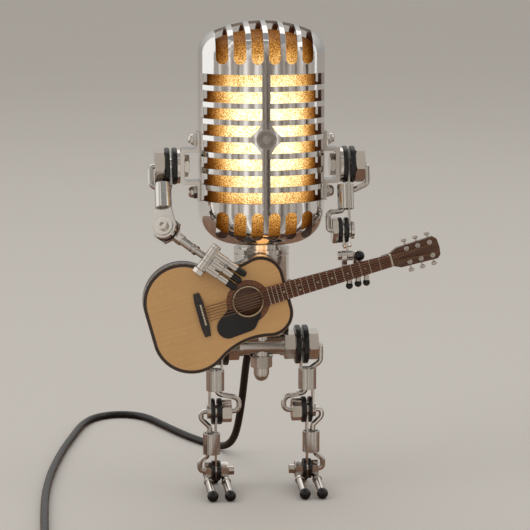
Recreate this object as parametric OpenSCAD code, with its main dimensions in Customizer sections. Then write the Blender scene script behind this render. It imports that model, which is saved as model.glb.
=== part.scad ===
// Desk lamp in the shape of a small metal robot that holds a guitar.
// The head is a slotted microphone grille over a glowing mesh liner; the limbs
// are short tubes joined by bolts, nuts, rubber rings, strips and bent rods.
// Millimetres. +X to the viewer's right, -Y is the front, +Z up, floor at Z = 0.

/* [Head] */
// Width of the head
head_w = 75.6; // [70:0.2:80]
// Depth of the head
head_d = 60; // [56:0.5:64]
// Height of the top of the head above the floor
head_top = 285.3; // [283:0.1:288]
// Thickness of the head shell
shell_t = 1.6; // [1.2:0.1:2]
// Height of one horizontal slot
slot_h = 6.65; // [5.5:0.05:7]
// Distance from one horizontal slot to the next
slot_pitch = 9.77; // [9.5:0.01:10]
// Number of horizontal slots
slot_count = 8; // [6:1:8]
// Width of one upright slot in the crown and the base of the head
crown_slot_w = 6.9; // [5:0.1:7.4]

/* [Body] */
// Radius of the torso tube
torso_r = 16.6; // [15:0.1:17]
// Height of the hip axis above the floor
hip_z = 90.2; // [89:0.1:92]
// Height of the knee axis above the floor
knee_z = 49.8; // [49:0.1:51]
// Height of the ankle axis above the floor
ankle_z = 12.8; // [12.4:0.1:13.4]
// Height of the shoulder axis above the floor
shoulder_z = 199.3; // [198:0.1:201]
// Distance of each leg's tube from the middle plane
leg_x = 28; // [27.5:0.1:29]

/* [Limbs] */
// Radius of the thigh tubes
thigh_r = 5.45; // [5:0.05:5.6]
// Radius of the shin tubes
shin_r = 5.2; // [4.8:0.05:5.3]
// Radius of the upper arm tubes
arm_r = 5; // [4.6:0.1:5.2]
// Radius of the bent rods
rod_r = 1.6; // [1.2:0.05:1.7]
// Forward lean of the upper arm that strums
strum_lean = 30; // [28:1:32]
// Forward lean of the upper arm that frets
fret_lean = 15; // [13:1:17]
// Turn of both feet toward the viewer's right
toe_turn = 5; // [0:1:7]

/* [Guitar] */
// Upward tilt of the guitar's neck
guitar_tilt = 15.3; // [14:0.1:16]
// Thickness of the guitar's body
guitar_t = 11; // [10:0.5:11]
// Radius of the sound hole
hole_r = 8.6; // [7:0.1:9]
// Number of frets
fret_count = 18; // [12:1:19]

/* [Cord] */
// Diameter of the power cord
cord_d = 4.8; // [4:0.1:5]

/* [Hidden] */
$fn = 48;

// The origin is under the middle of the lamp's own box, so everything built
// around the head's axis is shifted by this much.
shift = [-15.76, 0.54, 0];

run = 0.05;     // radial play of a part that turns on a bolt
face = 0.2;     // gap between two discs that turn against each other

chrome = [0.80, 0.81, 0.83];
dark_chrome = [0.62, 0.63, 0.66];
rubber = [0.06, 0.06, 0.065];
brass = [0.80, 0.62, 0.30];
amber = [0.96, 0.66, 0.26];
spruce = [0.80, 0.66, 0.47];
mahogany = [0.30, 0.16, 0.09];
rosewood = [0.26, 0.14, 0.09];
bone = [0.90, 0.86, 0.76];

module at() { translate(shift) children(); }

function arc(cx, cy, r, a0, a1, n) = [for (i = [0:n]) let (t = a0 + (a1 - a0) * i / n) [cx + r * cos(t), cy + r * sin(t)]];
function unit(v) = v / norm(v);

// ---------- shared hardware ----------

// A solid of revolution about X, from x0 to x1.
module disc_x(r, x0, x1, bore = 0, fn = 48) {
    translate([x0, 0, 0]) rotate([0, 90, 0]) difference() {
        cylinder(r = r, h = x1 - x0, $fn = fn);
        if (bore > 0) translate([0, 0, -1]) cylinder(r = bore, h = x1 - x0 + 2);
    }
}

// A chamfered hexagon nut along Z: rc is the radius over its corners.
module hex_nut(rc, h, bore = 0, c = 0.09) {
    difference() {
        intersection() {
            cylinder(r = rc, h = h, $fn = 6);
            rotate_extrude() polygon([[0, 0], [rc * (1 - c), 0], [rc * 1.01, rc * c * 0.6], [rc * 1.01, h - rc * c * 0.6], [rc * (1 - c), h], [0, h]]);
        }
        if (bore > 0) translate([0, 0, -1]) cylinder(r = bore, h = h + 2);
    }
}
// The same nut along X: turned by a from a corner straight up.
module hex_x(rc, x0, x1, bore = 0, a = 0) { translate([x0, 0, 0]) rotate([0, 90, 0]) rotate([0, 0, a]) hex_nut(rc, x1 - x0, bore); }

// A nut on a bolt of bore b that ends at xb, with a blind bore in its far face
// for the end of a bent rod; a corner of the nut points to the front.
module blind_nut_x(rc, x0, x1, xb, b) {
    difference() {
        hex_x(rc, x0, x1, a = 39);
        disc_x(b, x0 - 1, xb);
        disc_x(rod_r + run, xb + 0.3, x1 + 1);
    }
}

// A rubber ring about X with eased edges.
module ring_x(r, x0, x1, bore) {
    w = x1 - x0;
    e = min(0.7, w * 0.3);
    translate([x0, 0, 0]) rotate([0, 90, 0]) rotate_extrude()
        polygon([[bore, 0], [r - e, 0], [r - e * 0.3, e * 0.3], [r, e], [r, w - e], [r - e * 0.3, w - e * 0.3], [r - e, w], [bore, w]]);
}

// A cylinder from p to q.
module bar(p, q, r) {
    v = q - p;
    translate(p) rotate([0, acos(v[2] / norm(v)), atan2(v[1], v[0])]) cylinder(r = r, h = norm(v));
}

// A bent rod in the XZ plane: straight runs between the points of pts, with a
// bend of radius bend[i] at each inner point, swept as one tube.
function in_dir(p, i) = unit(p[i] - p[i - 1]);
function turn(p, i) = acos(min(1, max(-1, in_dir(p, i) * in_dir(p, i + 1))));
function bend_pts(p, b, i) = let (d = in_dir(p, i), e = in_dir(p, i + 1), a = turn(p, i), s = sign(d[0] * e[1] - d[1] * e[0]),
    t1 = p[i] - d * b[i] * tan(a / 2), c = t1 + s * b[i] * [-d[1], d[0]], a0 = atan2(t1[1] - c[1], t1[0] - c[0]), n = max(2, ceil(a / 18)))
    [for (k = [0:n]) c + b[i] * [cos(a0 + s * a * k / n), sin(a0 + s * a * k / n)]];
function rod_path(p, b) = concat([p[0]], [for (i = [1:len(p) - 2], q = bend_pts(p, b, i)) q], [p[len(p) - 1]]);
rod_sides = 12;
module bent_rod(pts, bend, r = rod_r) {
    q = rod_path(pts, bend);
    n = len(q);
    // the sweep's own frame: t along the rod, m across it in the plane
    m = [for (i = [0:n - 1]) let (t = unit(q[min(n - 1, i + 1)] - q[max(0, i - 1)])) [-t[1], t[0]]];
    w = [for (i = [0:n - 1]) i == 0 || i == n - 1 ? 1 : 1 / cos(turn(q, i) / 2)];
    v = [for (i = [0:n - 1], k = [0:rod_sides - 1]) let (a = (k + 0.5) * 360 / rod_sides)
        [q[i][0] + r * cos(a) * m[i][0] * w[i], -r * sin(a), q[i][1] + r * cos(a) * m[i][1] * w[i]]];
    polyhedron(points = v, faces = concat(
        [[for (k = [0:rod_sides - 1]) k]],
        [for (i = [0:n - 2], k = [0:rod_sides - 1]) [i * rod_sides + k, (i + 1) * rod_sides + k, (i + 1) * rod_sides + (k + 1) % rod_sides, i * rod_sides + (k + 1) % rod_sides]],
        [[for (k = [rod_sides - 1:-1:0]) (n - 1) * rod_sides + k]]));
}

// A flat strip in the YZ plane with an eye at z = 0 that runs to z = len.
module strip(x0, x1, eye_r, hole_r, width, len) {
    difference() {
        union() {
            disc_x(eye_r, x0, x1);
            translate([x0, -width / 2, min(0, len)]) cube([x1 - x0, width, abs(len)]);
        }
        disc_x(hole_r, x0 - 1, x1 + 1);
    }
}

// A tube end to end along Z with a shallow open mouth at each end.
module limb_tube(r, z0, z1) {
    difference() {
        translate([0, 0, z0]) cylinder(r = r, h = z1 - z0);
        translate([0, 0, z0 - 1]) cylinder(r = r - 1.1, h = 2.3);
        translate([0, 0, z1 - 1.3]) cylinder(r = r - 1.1, h = 2.3);
    }
}

// ---------- head ----------

ha = head_w / 2;
hb = head_d / 2;
dome_r = 71.5;                      // radius of the crown
side_r = 15.5;                      // radius between the crown and the sides
base_r = 20.3;                      // radius between the sides and the base
crown_c = head_top - dome_r;        // height of the crown arc's centre
crown_flat = 0.6;                   // radius of the small flat on top
side_c = crown_c + sqrt(pow(dome_r - side_r, 2) - pow(ha - side_r - crown_flat, 2));
base_c = 173.3;
head_bottom = base_c - base_r;
crown_a = atan2(side_c - crown_c, ha - side_r - crown_flat);
slot_top = 251.3;                   // middle of the highest horizontal slot
badge_z = 217.4;

// Half of the head's outline, inset by d.
module head_2d(d) {
    translate([0, base_c]) square([ha - d, side_c - base_c]);
    translate([0, base_c - 1.5]) square([ha - d - 0.2, side_c - base_c + 3]);
    translate([0, head_bottom + d]) square([ha - base_r, base_c - head_bottom - d + 5]);
    intersection() { translate([ha - base_r, base_c]) circle(r = base_r - d); translate([ha - base_r, 0]) square([60, base_c]); }
    intersection() { translate([ha - side_r, side_c]) circle(r = side_r - d); translate([0, side_c]) square([60, 100]); }
    translate([0, crown_c]) square([crown_flat, dome_r - d]);
    translate([crown_flat, crown_c]) intersection() { circle(r = dome_r - d); polygon([[-crown_flat, 0], [0, 0], [200 * cos(crown_a), 200 * sin(crown_a)], [-crown_flat, 200]]); }
}

// Half of a thin oval shell: d is its inset, t its wall. side -1 is the front.
module oval_half(side, d, t) {
    scale([1, hb / ha, 1]) rotate([0, 0, side < 0 ? 180 : 0]) rotate_extrude(angle = 180) difference() { head_2d(d); head_2d(d + t); }
}

// Half of the hollow head.
module head_half(side) {
    difference() {
        oval_half(side, 0, shell_t);
        translate([0, 0, head_bottom - 1]) cylinder(r = 10.5, h = 4);
    }
}

badge_star = [[10.4, 0], [5, 5.2], [2.4, 9.4], [2.4, 13], [-2.4, 13], [-2.4, 9.4], [-5, 5.2], [-10.4, 0], [-5, -5.2], [-2.4, -9.4], [-2.4, -13], [2.4, -13], [2.4, -9.4], [5, -5.2]];

// Everything that is cut out of the front half.
module grille_cuts(star) {
    difference() {
        for (i = [0:slot_count - 1], s = [-1, 1])
            translate([s > 0 ? 2.4 : -36.3, -40, slot_top - i * slot_pitch - slot_h / 2]) cube([33.9, 32, slot_h]);
        if (star) translate([0, -20, badge_z]) rotate([90, 0, 0]) linear_extrude(20) polygon(badge_star);
    }
    // upright slots: rounded at the foot, and over the crown to a rounded end
    for (x = [-25, -15, -5, 5, 15, 25]) {
        translate([x, 0, 264]) rotate([90, 0, 0]) translate([0, 0, 5]) linear_extrude(40) { circle(r = crown_slot_w / 2); translate([-crown_slot_w / 2, 0]) square([crown_slot_w, 30]); }
        translate([x, 0, 160.8]) rotate([90, 0, 0]) translate([0, 0, 5]) linear_extrude(40) { circle(r = crown_slot_w / 2); translate([-crown_slot_w / 2, 0]) square([crown_slot_w, 10.1]); translate([0, 10.1]) circle(r = crown_slot_w / 2); }
    }
}

module head_front_shell() { color(chrome) at() difference() { head_half(-1); grille_cuts(true); } }
module head_rear_shell() { color(chrome) at() difference() { head_half(1); mirror([0, 1, 0]) grille_cuts(false); } }

module head_badge() {
    color(dark_chrome) at() translate([0, -hb - 0.02, badge_z]) rotate([90, 0, 0]) {
        difference() {
            cylinder(r = 5.9, h = 1.5);
            translate([0, 0, 0.9]) cylinder(r = 4.9, h = 2);
        }
        translate([0, 0, 0.9]) cylinder(r = 2.4, h = 0.5);
    }
}

// The mesh basket that glows, in two halves with a hair's gap between them.
module mesh_liner() {
    color(amber) at() for (side = [-1, 1]) difference() {
        translate([0, side * 0.02, 0]) oval_half(side, 5.6, 0.8);
        translate([0, 0, 150]) cylinder(r = 11.5, h = 12);
    }
}

module lamp_holder() {
    color(bone) at() difference() {
        union() {
            translate([0, 0, 150]) cylinder(r = 10, h = 4.7);
            translate([0, 0, 154.7]) cylinder(r = 13.5, h = 3.85);
            translate([0, 0, 158.5]) cylinder(r = 9, h = 17.2);
        }
        translate([0, 0, 148]) cylinder(r = 2.6, h = 40);
        translate([0, 0, 164]) cylinder(r = 6.5, h = 20);
    }
}

module bulb() {
    color([1, 0.93, 0.75]) at() translate([0, 0, 166]) rotate_extrude() polygon(concat(
        [[0, -1.5], [2, -1.5], [2, 0], [6, 0], [6, 12], [8.5, 15]],
        arc(0, 31, 12, -30, 90, 14)));
}

// ---------- torso ----------

module neck_collar() {
    color(chrome) at() difference() {
        union() {
            translate([0, 0, 144.2]) cylinder(r = torso_r, h = 2.2);
            translate([0, 0, 146.4]) cylinder(r = torso_r - 0.9, h = 0.9);
            translate([0, 0, 147.3]) cylinder(r = torso_r, h = 2.7);
            translate([0, 0, 150]) cylinder(r = 13.6, h = head_bottom - 150);
        }
        translate([0, 0, 140]) cylinder(r = 3, h = 20);
        translate([0, 0, 150]) cylinder(r = 10.05, h = 10);
    }
}

torso_z0 = 98.8;
gland_tilt = 132;                   // the cord leaves this far from straight up
gland_p = [-3.5, torso_r - 2.6, 106];
module gland_axis() { translate(gland_p) rotate([-gland_tilt, 0, 0]) children(); }

module torso_tube() {
    color(chrome) at() difference() {
        translate([0, 0, torso_z0]) cylinder(r = torso_r, h = 144.2 - torso_z0);
        translate([0, 0, torso_z0 + 2.5]) cylinder(r = torso_r - 1.5, h = 60);
        translate([0, 0, torso_z0 - 1]) cylinder(r = 4.05, h = 5);
        gland_axis() { translate([0, 0, -6]) cylinder(r = 3.45, h = 20); translate([0, 0, 3.3]) cylinder(r = 5.1, h = 12); }
    }
}

module dimmer_module() {
    color([0.12, 0.30, 0.18]) at() translate([-8, -9, 112]) cube([16, 11, 22]);
}

module inner_wire() {
    color(rubber) at() {
        translate([0, 4, 112]) cylinder(r = 1.2, h = 24);
        bar([0, 4, 136], [0, 0, 142], 1.2);
        translate([0, 4, 136]) sphere(r = 1.2);
        translate([0, 0, 142]) cylinder(r = 1.2, h = 22);
        translate([0, 0, 142]) sphere(r = 1.2);
    }
}

module hip_barrel() {
    color(chrome) at() difference() {
        union() {
            translate([0, 0, hip_z]) disc_x(5.85, -11.6, 11.6);
            for (s = [-1, 1]) translate([0, 0, hip_z]) disc_x(6.6, s > 0 ? 11.2 : -13.6, s > 0 ? 13.6 : -11.2);
            translate([0, 0, hip_z]) cylinder(r = 5, h = torso_z0 - hip_z);
            translate([0, 0, hip_z - 6.4]) cylinder(r = 5, h = 6);
        }
        translate([0, 0, hip_z]) disc_x(2.55, -20, 20);
        translate([0, 0, 60]) cylinder(r = 4.05, h = 60);
    }
}

// The stud that holds the torso, the barrel and the nut together.
module crotch_nut() {
    color(chrome) at() {
        translate([0, 0, 76.6]) rotate([0, 0, 0]) hex_nut(6.6, 6.9);
        translate([0, 0, 83.5]) cylinder(r = 7.2, h = 0.3);
        translate([0, 0, 83.7]) cylinder(r = 4, h = 3.2);
        translate([0, 0, hip_z + 3.4]) cylinder(r = 4, h = torso_z0 + 2.5 - hip_z - 3.4);
        translate([0, 0, torso_z0 + 2.5]) rotate([0, 0, 0]) hex_nut(6.6, 4.5);
    }
}

module crotch_cap() {
    color(chrome) at() rotate_extrude() polygon(concat(
        [[0, 76.6], [4.7, 76.6], [4.7, 72.4]], arc(0, 72.4, 4.4, 0, -80, 8), [[0, 68]]));
}

// ---------- shoulders ----------

left_c = 54.1;                      // middle of the left shoulder's rings
right_c = 52;                       // middle of the right shoulder's rings
bolt_r = 2.5;
stud_z = 15.7;                      // height of a bracket's studs from the shoulder axis

module on_shoulders() {
    translate([0, 0, shoulder_z]) { mirror([1, 0, 0]) shoulder_side(left_c) children(); }
    translate([0, 0, shoulder_z]) shoulder_side(right_c) children();
}
module shoulder_side(c) { translate([c, 0, 0]) children(); }

// A hat-shaped strap: c is where the rings' middle is.
module hat_bracket(c) {
    difference() {
        translate([0, 6, 0]) rotate([90, 0, 0]) linear_extrude(12) polygon([
            [36.9, 20.6], [36.9, 8.6], [c - 9.1, 8.6], [c - 8.1, 7.6], [c - 8.1, -7.6], [c - 9.1, -8.6], [36.9, -8.6], [36.9, -20.6],
            [38.5, -20.6], [38.5, -12.2], [38.9, -11.1], [40, -10.6], [c - 7.6, -10.6], [c - 6.1, -10.1], [c - 5.5, -8.6],
            [c - 5.5, 8.6], [c - 6.1, 10.1], [c - 7.6, 10.6], [40, 10.6], [38.9, 11.1], [38.5, 12.2], [38.5, 20.6]]);
        scale([1, hb / ha, 1]) translate([0, 0, -30]) cylinder(r = ha + 0.02, h = 60);
        disc_x(bolt_r + 0.02, c - 12, c);
        for (z = [-stud_z, stud_z]) translate([0, 0, z]) disc_x(1.55, 30, 45);
    }
}

module shoulder_brackets() {
    color(chrome) at() translate([0, 0, shoulder_z]) {
        hat_bracket(right_c);
        mirror([1, 0, 0]) hat_bracket(left_c);
    }
}

module cap_nut_x(x0) {
    translate([x0, 0, 0]) rotate([0, 90, 0]) {
        rotate([0, 0, 30]) hex_nut(4.1, 2.2);
        translate([0, 0, 2.1]) rotate_extrude() polygon(concat([[0, 0], [3.4, 0]], arc(0.9, 0.7, 2.5, 0, 90, 7), [[0, 3.2]]));
    }
}

module bracket_cap_nuts() {
    color(chrome) at() translate([0, 0, shoulder_z]) for (s = [0, 1], z = [-stud_z, stud_z])
        mirror([s, 0, 0]) translate([0, 0, z]) { cap_nut_x(38.52); disc_x(1.5, 37.85, 38.6); }
}

module shoulder_bolts() {
    color(chrome) at() translate([0, 0, shoulder_z]) for (s = [0, 1]) {
        c = s == 0 ? right_c : left_c;
        mirror([s, 0, 0]) {
            hex_x(6.6, c - 11.1, c - 8.15);
            disc_x(bolt_r, c - 8.2, c + 6.5);
            disc_x(10.5, c - 5.45, c - 3.7, bolt_r + 0.02);
            blind_nut_x(11, c + 3.7, s == 0 ? c + 9.3 : c + 9.6, c + 6.7, bolt_r + 0.02);
        }
    }
}

module shoulder_rubber_rings() {
    color(rubber) at() translate([0, 0, shoulder_z]) for (s = [0, 1]) {
        c = s == 0 ? right_c : left_c;
        mirror([s, 0, 0]) {
            ring_x(11, c - 3.65, c - 0.75, bolt_r + 0.02);
            ring_x(11, c + 0.75, c + 3.6, bolt_r + 0.02);
        }
    }
}

// ---------- hips ----------

module hip_bolts() {
    color(chrome) at() translate([0, 0, hip_z]) for (s = [0, 1]) mirror([s, 0, 0]) {
        disc_x(bolt_r, 6, 31);
        hex_x(9, 13.65, 20.2, bolt_r + 0.02, 39);
        blind_nut_x(9.5, 28.1, 34, 31.2, bolt_r + 0.02);
    }
}

module hip_rubber_rings() {
    color(rubber) at() translate([0, 0, hip_z]) for (s = [0, 1]) mirror([s, 0, 0]) {
        ring_x(11.8, 20.25, 23.4, bolt_r + 0.02);
        ring_x(11.8, 24.8, 28, bolt_r + 0.02);
    }
}

// ---------- legs: x grows away from the middle plane, 0 at the thigh tube ----------

module on_leg(s) { at() mirror([s < 0 ? 1 : 0, 0, 0]) translate([leg_x, 0, 0]) children(); }
shin_x = 2.4;

module thigh(s) {
    color(chrome) on_leg(s) {
        limb_tube(thigh_r, 62.8, 75.6);
        // hip: strip between the rings, bent rod into the nut
        translate([0, 0, hip_z]) strip(-4.4, -3.4, 5.4, bolt_r + run, 8, 74.4 - hip_z);
        bent_rod([[3.9, hip_z], [8, hip_z], [8, hip_z - 10.6], [1.4, hip_z - 15.4], [1.4, hip_z - 17.4]], [0, 1.8, 4, 1.7, 0]);
        // knee: strip outside the rings, bent rod into the nut
        translate([0, 0, knee_z]) strip(2.8, 4, 4.6, 2 + run, 7, 65.2 - knee_z);
        bent_rod([[-1.2, 65.2], [-1.2, 60.6], [-14.4, 57.7], [-14.4, knee_z], [-7.4, knee_z]], [0, 2.8, 4, 3.4, 0]);
    }
}

module shin(s) {
    color(chrome) on_leg(s) {
        translate([shin_x, 0, 0]) limb_tube(shin_r, 23.5, 36.3);
        translate([0, 0, knee_z]) strip(-0.8, 0.4, 4.6, 2.02, 6.6, 34.4 - knee_z);
        bent_rod([[5.05, knee_z], [8.8, knee_z], [8.6, 45.2], [3.4, 40], [3.4, 34.4]], [0, 2.2, 3, 3, 0]);
        translate([0, 0, ankle_z]) strip(-0.6, 0.4, 4, 1.92, 5.6, 25.4 - ankle_z);
        bent_rod([[5, 25.4], [5, 22.2], [9.6, 18.6], [9.6, ankle_z], [6.9, ankle_z]], [0, 2.2, 2.6, 2.2, 0]);
    }
}

module leg_bolts(s) {
    color(chrome) on_leg(s) {
        // knee: nut with a blind bore for the thigh's rod, bolt and washer
        translate([0, 0, knee_z]) {
            difference() {
                hex_x(7, -9.7, -3.85);
                disc_x(rod_r + run, -11, -7.2);
                disc_x(2.02, -6.9, -3);
            }
            disc_x(2, -6.8, 5);
            disc_x(4.4, 4.2, 4.95, 2.02);
        }
        // ankle: bolt with a round end
        translate([0, 0, ankle_z]) {
            disc_x(1.9, -7.9, 6.85);
            disc_x(2.8, -11.1, -7.8);
        }
    }
}

module leg_rings(s) {
    color(rubber) on_leg(s) {
        translate([0, 0, knee_z]) {
            ring_x(8, -3.8, -0.85, 2.02);
            ring_x(8, 0.45, 2.6, 2.02);
        }
        translate([0, 0, ankle_z]) {
            ring_x(6.2, -2.85, -0.65, 1.92);
            ring_x(6.2, 0.45, 2.5, 1.92);
        }
    }
}

ball_r = 3.4;
ball_z = ball_r - 0.12;             // the balls are worn flat where they stand
out_hub = 5;
in_hub = -5.5;
toe_r = 2.1;
toe_dz = ball_z - ankle_z + 3.2;
function toe_at(y) = [0, -y, 0.4 + (toe_dz - 0.4) * (y - 1.5) / 21.5];

// One toe: it starts inside its hub and ends in the ball.
module toe_line(s, x) {
    a = s < 0 ? -toe_turn : toe_turn;
    translate([x, -6, ankle_z - 3.2]) rotate([0, 0, a]) translate([0, 6, 0]) children();
}

module foot(s) {
    color(chrome) on_leg(s) difference() {
        union() {
            translate([0, 0, ankle_z]) { hex_x(5.2, 2.75, 6.6); hex_x(5.3, -7.6, -3.05); }
            for (x = [out_hub, in_hub]) {
                toe_line(s, x) {
                    bar([0, -1.5, 0.4], [0, -23, toe_dz], toe_r);
                    bar(toe_at(7.6), toe_at(9.2), 2.9);
                    bar(toe_at(9), toe_at(23), 2.5);
                }
                bar([x, 1, ankle_z - 0.6], [x, 9.9, 9.25], 1.8);
                
            }
            translate([0, 9.5, 9.4]) disc_x(2.3, in_hub - 2, out_hub + 2);
            bar([-0.3, 9.5, 9.4], [-0.3, 16.5, 4.2], 1.8);
        }
        translate([0, 0, ankle_z]) disc_x(1.9 + run, -9, 9);
        for (x = [out_hub, in_hub]) toe_line(s, x) translate([0, -23.5, ball_z - ankle_z + 3.2]) sphere(r = ball_r);
        translate([-0.3, 17, ball_z]) sphere(r = ball_r);
    }
}

// Rubber balls with a small flat where they stand.
module toe_tips(s) {
    color(rubber) on_leg(s) difference() {
        union() {
            for (x = [out_hub, in_hub]) toe_line(s, x) translate([0, -23.5, ball_z - ankle_z + 3.2]) sphere(r = ball_r);
            translate([-0.3, 17, ball_z]) sphere(r = ball_r);
        }
        translate([-20, -40, -10]) cube([50, 80, 10]);
    }
}

module left_thigh() { thigh(-1); }
module right_thigh() { thigh(1); }
module left_shin() { shin(-1); }
module right_shin() { shin(1); }
module left_leg_bolts() { leg_bolts(-1); }
module right_leg_bolts() { leg_bolts(1); }
module left_leg_rubber_rings() { leg_rings(-1); }
module right_leg_rubber_rings() { leg_rings(1); }
module left_foot() { foot(-1); }
module right_foot() { foot(1); }
module left_toe_tips() { toe_tips(-1); }
module right_toe_tips() { toe_tips(1); }

// ---------- the arm that strums (viewer's left) ----------

elbow_l = 38.7;                     // shoulder axis to elbow axis
fore_l = 32.6;                      // elbow axis to wrist pin
paddle_turn = 20;
fore_a = 42.3;                      // how far the forearm points below level
arm_x = -59;                        // the tube's middle

// Frame of the upper arm: origin at the shoulder axis, -Z along the arm.
module strum_arm() { at() translate([arm_x, 0, shoulder_z]) rotate([-strum_lean, 0, 0]) children(); }
// Frame of the elbow: Y is the elbow's axis, +Y to the back.
module strum_elbow() { strum_arm() translate([0, 0, -elbow_l]) rotate([0, 0, -paddle_turn]) children(); }

module left_upper_arm() {
    sx = -left_c - arm_x;           // the rings' middle in this frame
    color(chrome) {
        strum_arm() {
            limb_tube(arm_r, -27, -11.7);
            mirror([1, 0, 0]) {
                strip(-sx - 0.5, -sx + 0.5, 5, bolt_r + run, 8, -13.7);
                bent_rod([[2.9, 0], [6.9, 0], [6.9, -12], [2.4, -15], [2.4, -17.4]], [0, 1.8, 3, 1.7, 0]);
            }
        }
        strum_elbow() difference() {
            union() {
                rotate([90, 0, 0]) translate([0, 0, -1.5]) cylinder(r = 7.4, h = 3);
                translate([0, 1.5, 0]) rotate([90, 0, 0]) linear_extrude(3) polygon([[-4.4, 13.7], [4.4, 13.7], [6.6, 3], [-6.6, 3]]);
            }
            rotate([90, 0, 0]) translate([0, 0, -3]) cylinder(r = 2 + run, h = 6);
        }
    }
}

module left_elbow_ring() {
    color(rubber) strum_elbow() rotate([-90, 0, 0]) translate([0, 0, 1.7]) difference() {
        cylinder(r = 7.6, h = 2.2);
        translate([0, 0, -1]) cylinder(r = 2.02, h = 5);
    }
}

// Directions and places of the hand, in the lamp's frame.
function rx(a, v) = [v[0], v[1] * cos(a) - v[2] * sin(a), v[1] * sin(a) + v[2] * cos(a)];
function rz(a, v) = [v[0] * cos(a) - v[1] * sin(a), v[0] * sin(a) + v[1] * cos(a), v[2]];
function strum_dir(v) = rx(-strum_lean, rz(-paddle_turn, v));
elbow_p = [arm_x, 0, shoulder_z] + rx(-strum_lean, [0, 0, -elbow_l]);
fore_dir = strum_dir([cos(fore_a), 0, -sin(fore_a)]);
lug_p = elbow_p + strum_dir([0, 5.3, 0]);
wrist_p = lug_p + fore_dir * fore_l;
finger_a = 35.5;
finger_dir = [cos(finger_a), 0, -sin(finger_a)];

module strum_lug() { strum_elbow() translate([0, 5.3, 0]) rotate([0, fore_a, 0]) children(); }
// Frame of the hand: Z is the cross bolt, X along the fingers.
module strum_hand() { at() translate(wrist_p) rotate([0, finger_a, 0]) children(); }

module left_forearm() {
    color(chrome) difference() {
        union() {
            strum_lug() {
                rotate([90, 0, 0]) translate([0, 0, -1.25]) cylinder(r = 8.6, h = 2.5, $fn = 6);
                translate([3, -1.25, -2.4]) cube([6.4, 2.5, 4.8]);
                translate([8, 0, 0]) rotate([0, 90, 0]) hex_nut(3.4, 4.5);
                translate([12.4, 0, 0]) rotate([0, 90, 0]) cylinder(r = 2.7, h = 8);
                translate([20.3, 0, 0]) rotate([0, 90, 0]) cylinder(r = 2, h = fore_l - 24.2);
                translate([fore_l - 4, 0, 0]) rotate([0, 90, 0]) cylinder(r = 1.45, h = 3);
                translate([22, 0, 0]) rotate([0, 90, 0]) cylinder(r = 2.9, h = 1.6);
            }
            strum_hand() translate([0, 0, -1.5]) cylinder(r = 3, h = 3);
        }
        strum_elbow() rotate([90, 0, 0]) translate([0, 0, -8]) cylinder(r = 2.02, h = 6);
        strum_hand() translate([0, 0, -5]) cylinder(r = 1.32, h = 10);
    }
}

module left_arm_bolts() {
    color(chrome) {
        // elbow: socket screw through the paddle, the ring and the lug
        strum_elbow() {
            rotate([90, 0, 0]) difference() {
                union() {
                    translate([0, 0, -9.2]) cylinder(r = 2, h = 11.5);
                    translate([0, 0, 2.3]) cylinder(r = 3, h = 2.3);
                }
                translate([0, 0, 3]) cylinder(r = 1.5, h = 4, $fn = 6);
            }
            rotate([90, 0, 0]) translate([0, 0, 1.65]) difference() { cylinder(r = 5.7, h = 0.7); translate([0, 0, -1]) cylinder(r = 2.02, h = 3); }
            rotate([-90, 0, 0]) translate([0, 0, 6.6]) hex_nut(4.4, 2.8, 2.02);
        }
        // wrist: cross bolt with a hexagon nut below and a round head above
        strum_hand() {
            translate([0, 0, -8.6]) cylinder(r = 1.3, h = 16.6);
            translate([0, 0, -10.4]) hex_nut(3.7, 2.8);
            translate([0, 0, -11.2]) cylinder(r1 = 1.9, r2 = 3, h = 0.9);
            translate([0, 0, 7.6]) cylinder(r = 2.8, h = 1.9);
        }
    }
}

// Three stepped tubes start straight from the wrist barrel, with a groove where each steps down.
module left_hand() {
    color(chrome) strum_hand() {
        difference() {
            union() {
                translate([0, 0, -7.2]) cylinder(r = 3, h = 14.4);
                translate([1, -1.4, -6.4]) cube([5.8, 2.8, 12.8]);
                for (k = [-1, 0, 1]) translate([2, 0, k * 4.9]) rotate([0, 90, 0]) cylinder(r = 2.3, h = 8.2);
            }
            translate([-4, -4, -1.75]) cube([7.6, 8, 3.5]);
            translate([0, 0, -16]) cylinder(r = 1.3 + run, h = 32);
        }
        for (k = [-1, 0, 1]) translate([10.1, 0, k * 4.9]) rotate([0, 90, 0]) {
            cylinder(r = 1.55, h = 0.9);
            translate([0, 0, 0.8]) cylinder(r = 2, h = 6.2);
        }
    }
}

module left_fingertips() {
    color(rubber) strum_hand() for (k = [-1, 0, 1]) translate([17.1, 0, k * 4.9]) rotate([0, 90, 0])
        rotate_extrude() polygon(concat([[0, 0], [2.1, 0], [2.1, 4.75]], arc(0, 4.75, 2.1, 0, 88, 6), [[0, 6.85]]));
}

// ---------- the arm that frets (viewer's right) ----------

fret_tube_x = 50;
fret_elbow_x = 48;
fret_elbow_l = 39.6;
module fret_arm() { at() translate([0, 0, shoulder_z]) rotate([-fret_lean, 0, 0]) children(); }
fret_elbow_p = [fret_elbow_x, 0, shoulder_z] + rx(-fret_lean, [0, 0, -fret_elbow_l]);
fret_wrist_p = [51.2, -16, 146.5];

module right_upper_arm() {
    color(chrome) fret_arm() {
        translate([fret_tube_x, 0, 0]) limb_tube(arm_r, -27, -12.4);
        strip(right_c - 0.5, right_c + 0.5, 5, bolt_r + run, 7, -14.4);
        bent_rod([[59.4, 0], [63.4, 0], [63.4, -11.8], [53.2, -16.4], [53.2, -18.6]], [0, 1.8, 3.4, 1.7, 0]);
        translate([0, 0, -fret_elbow_l]) difference() {
            union() {
                strip(51, 52.2, 4.4, 2 + run, 6, fret_elbow_l - 25);
                bent_rod([[48, 15], [48, 11.6], [39.1, 10.7], [39.1, 0], [42.6, 0]], [0, 1.9, 3, 1.8, 0]);
            }
            disc_x(2 + run, 50, 54);
        }
    }
}

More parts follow.
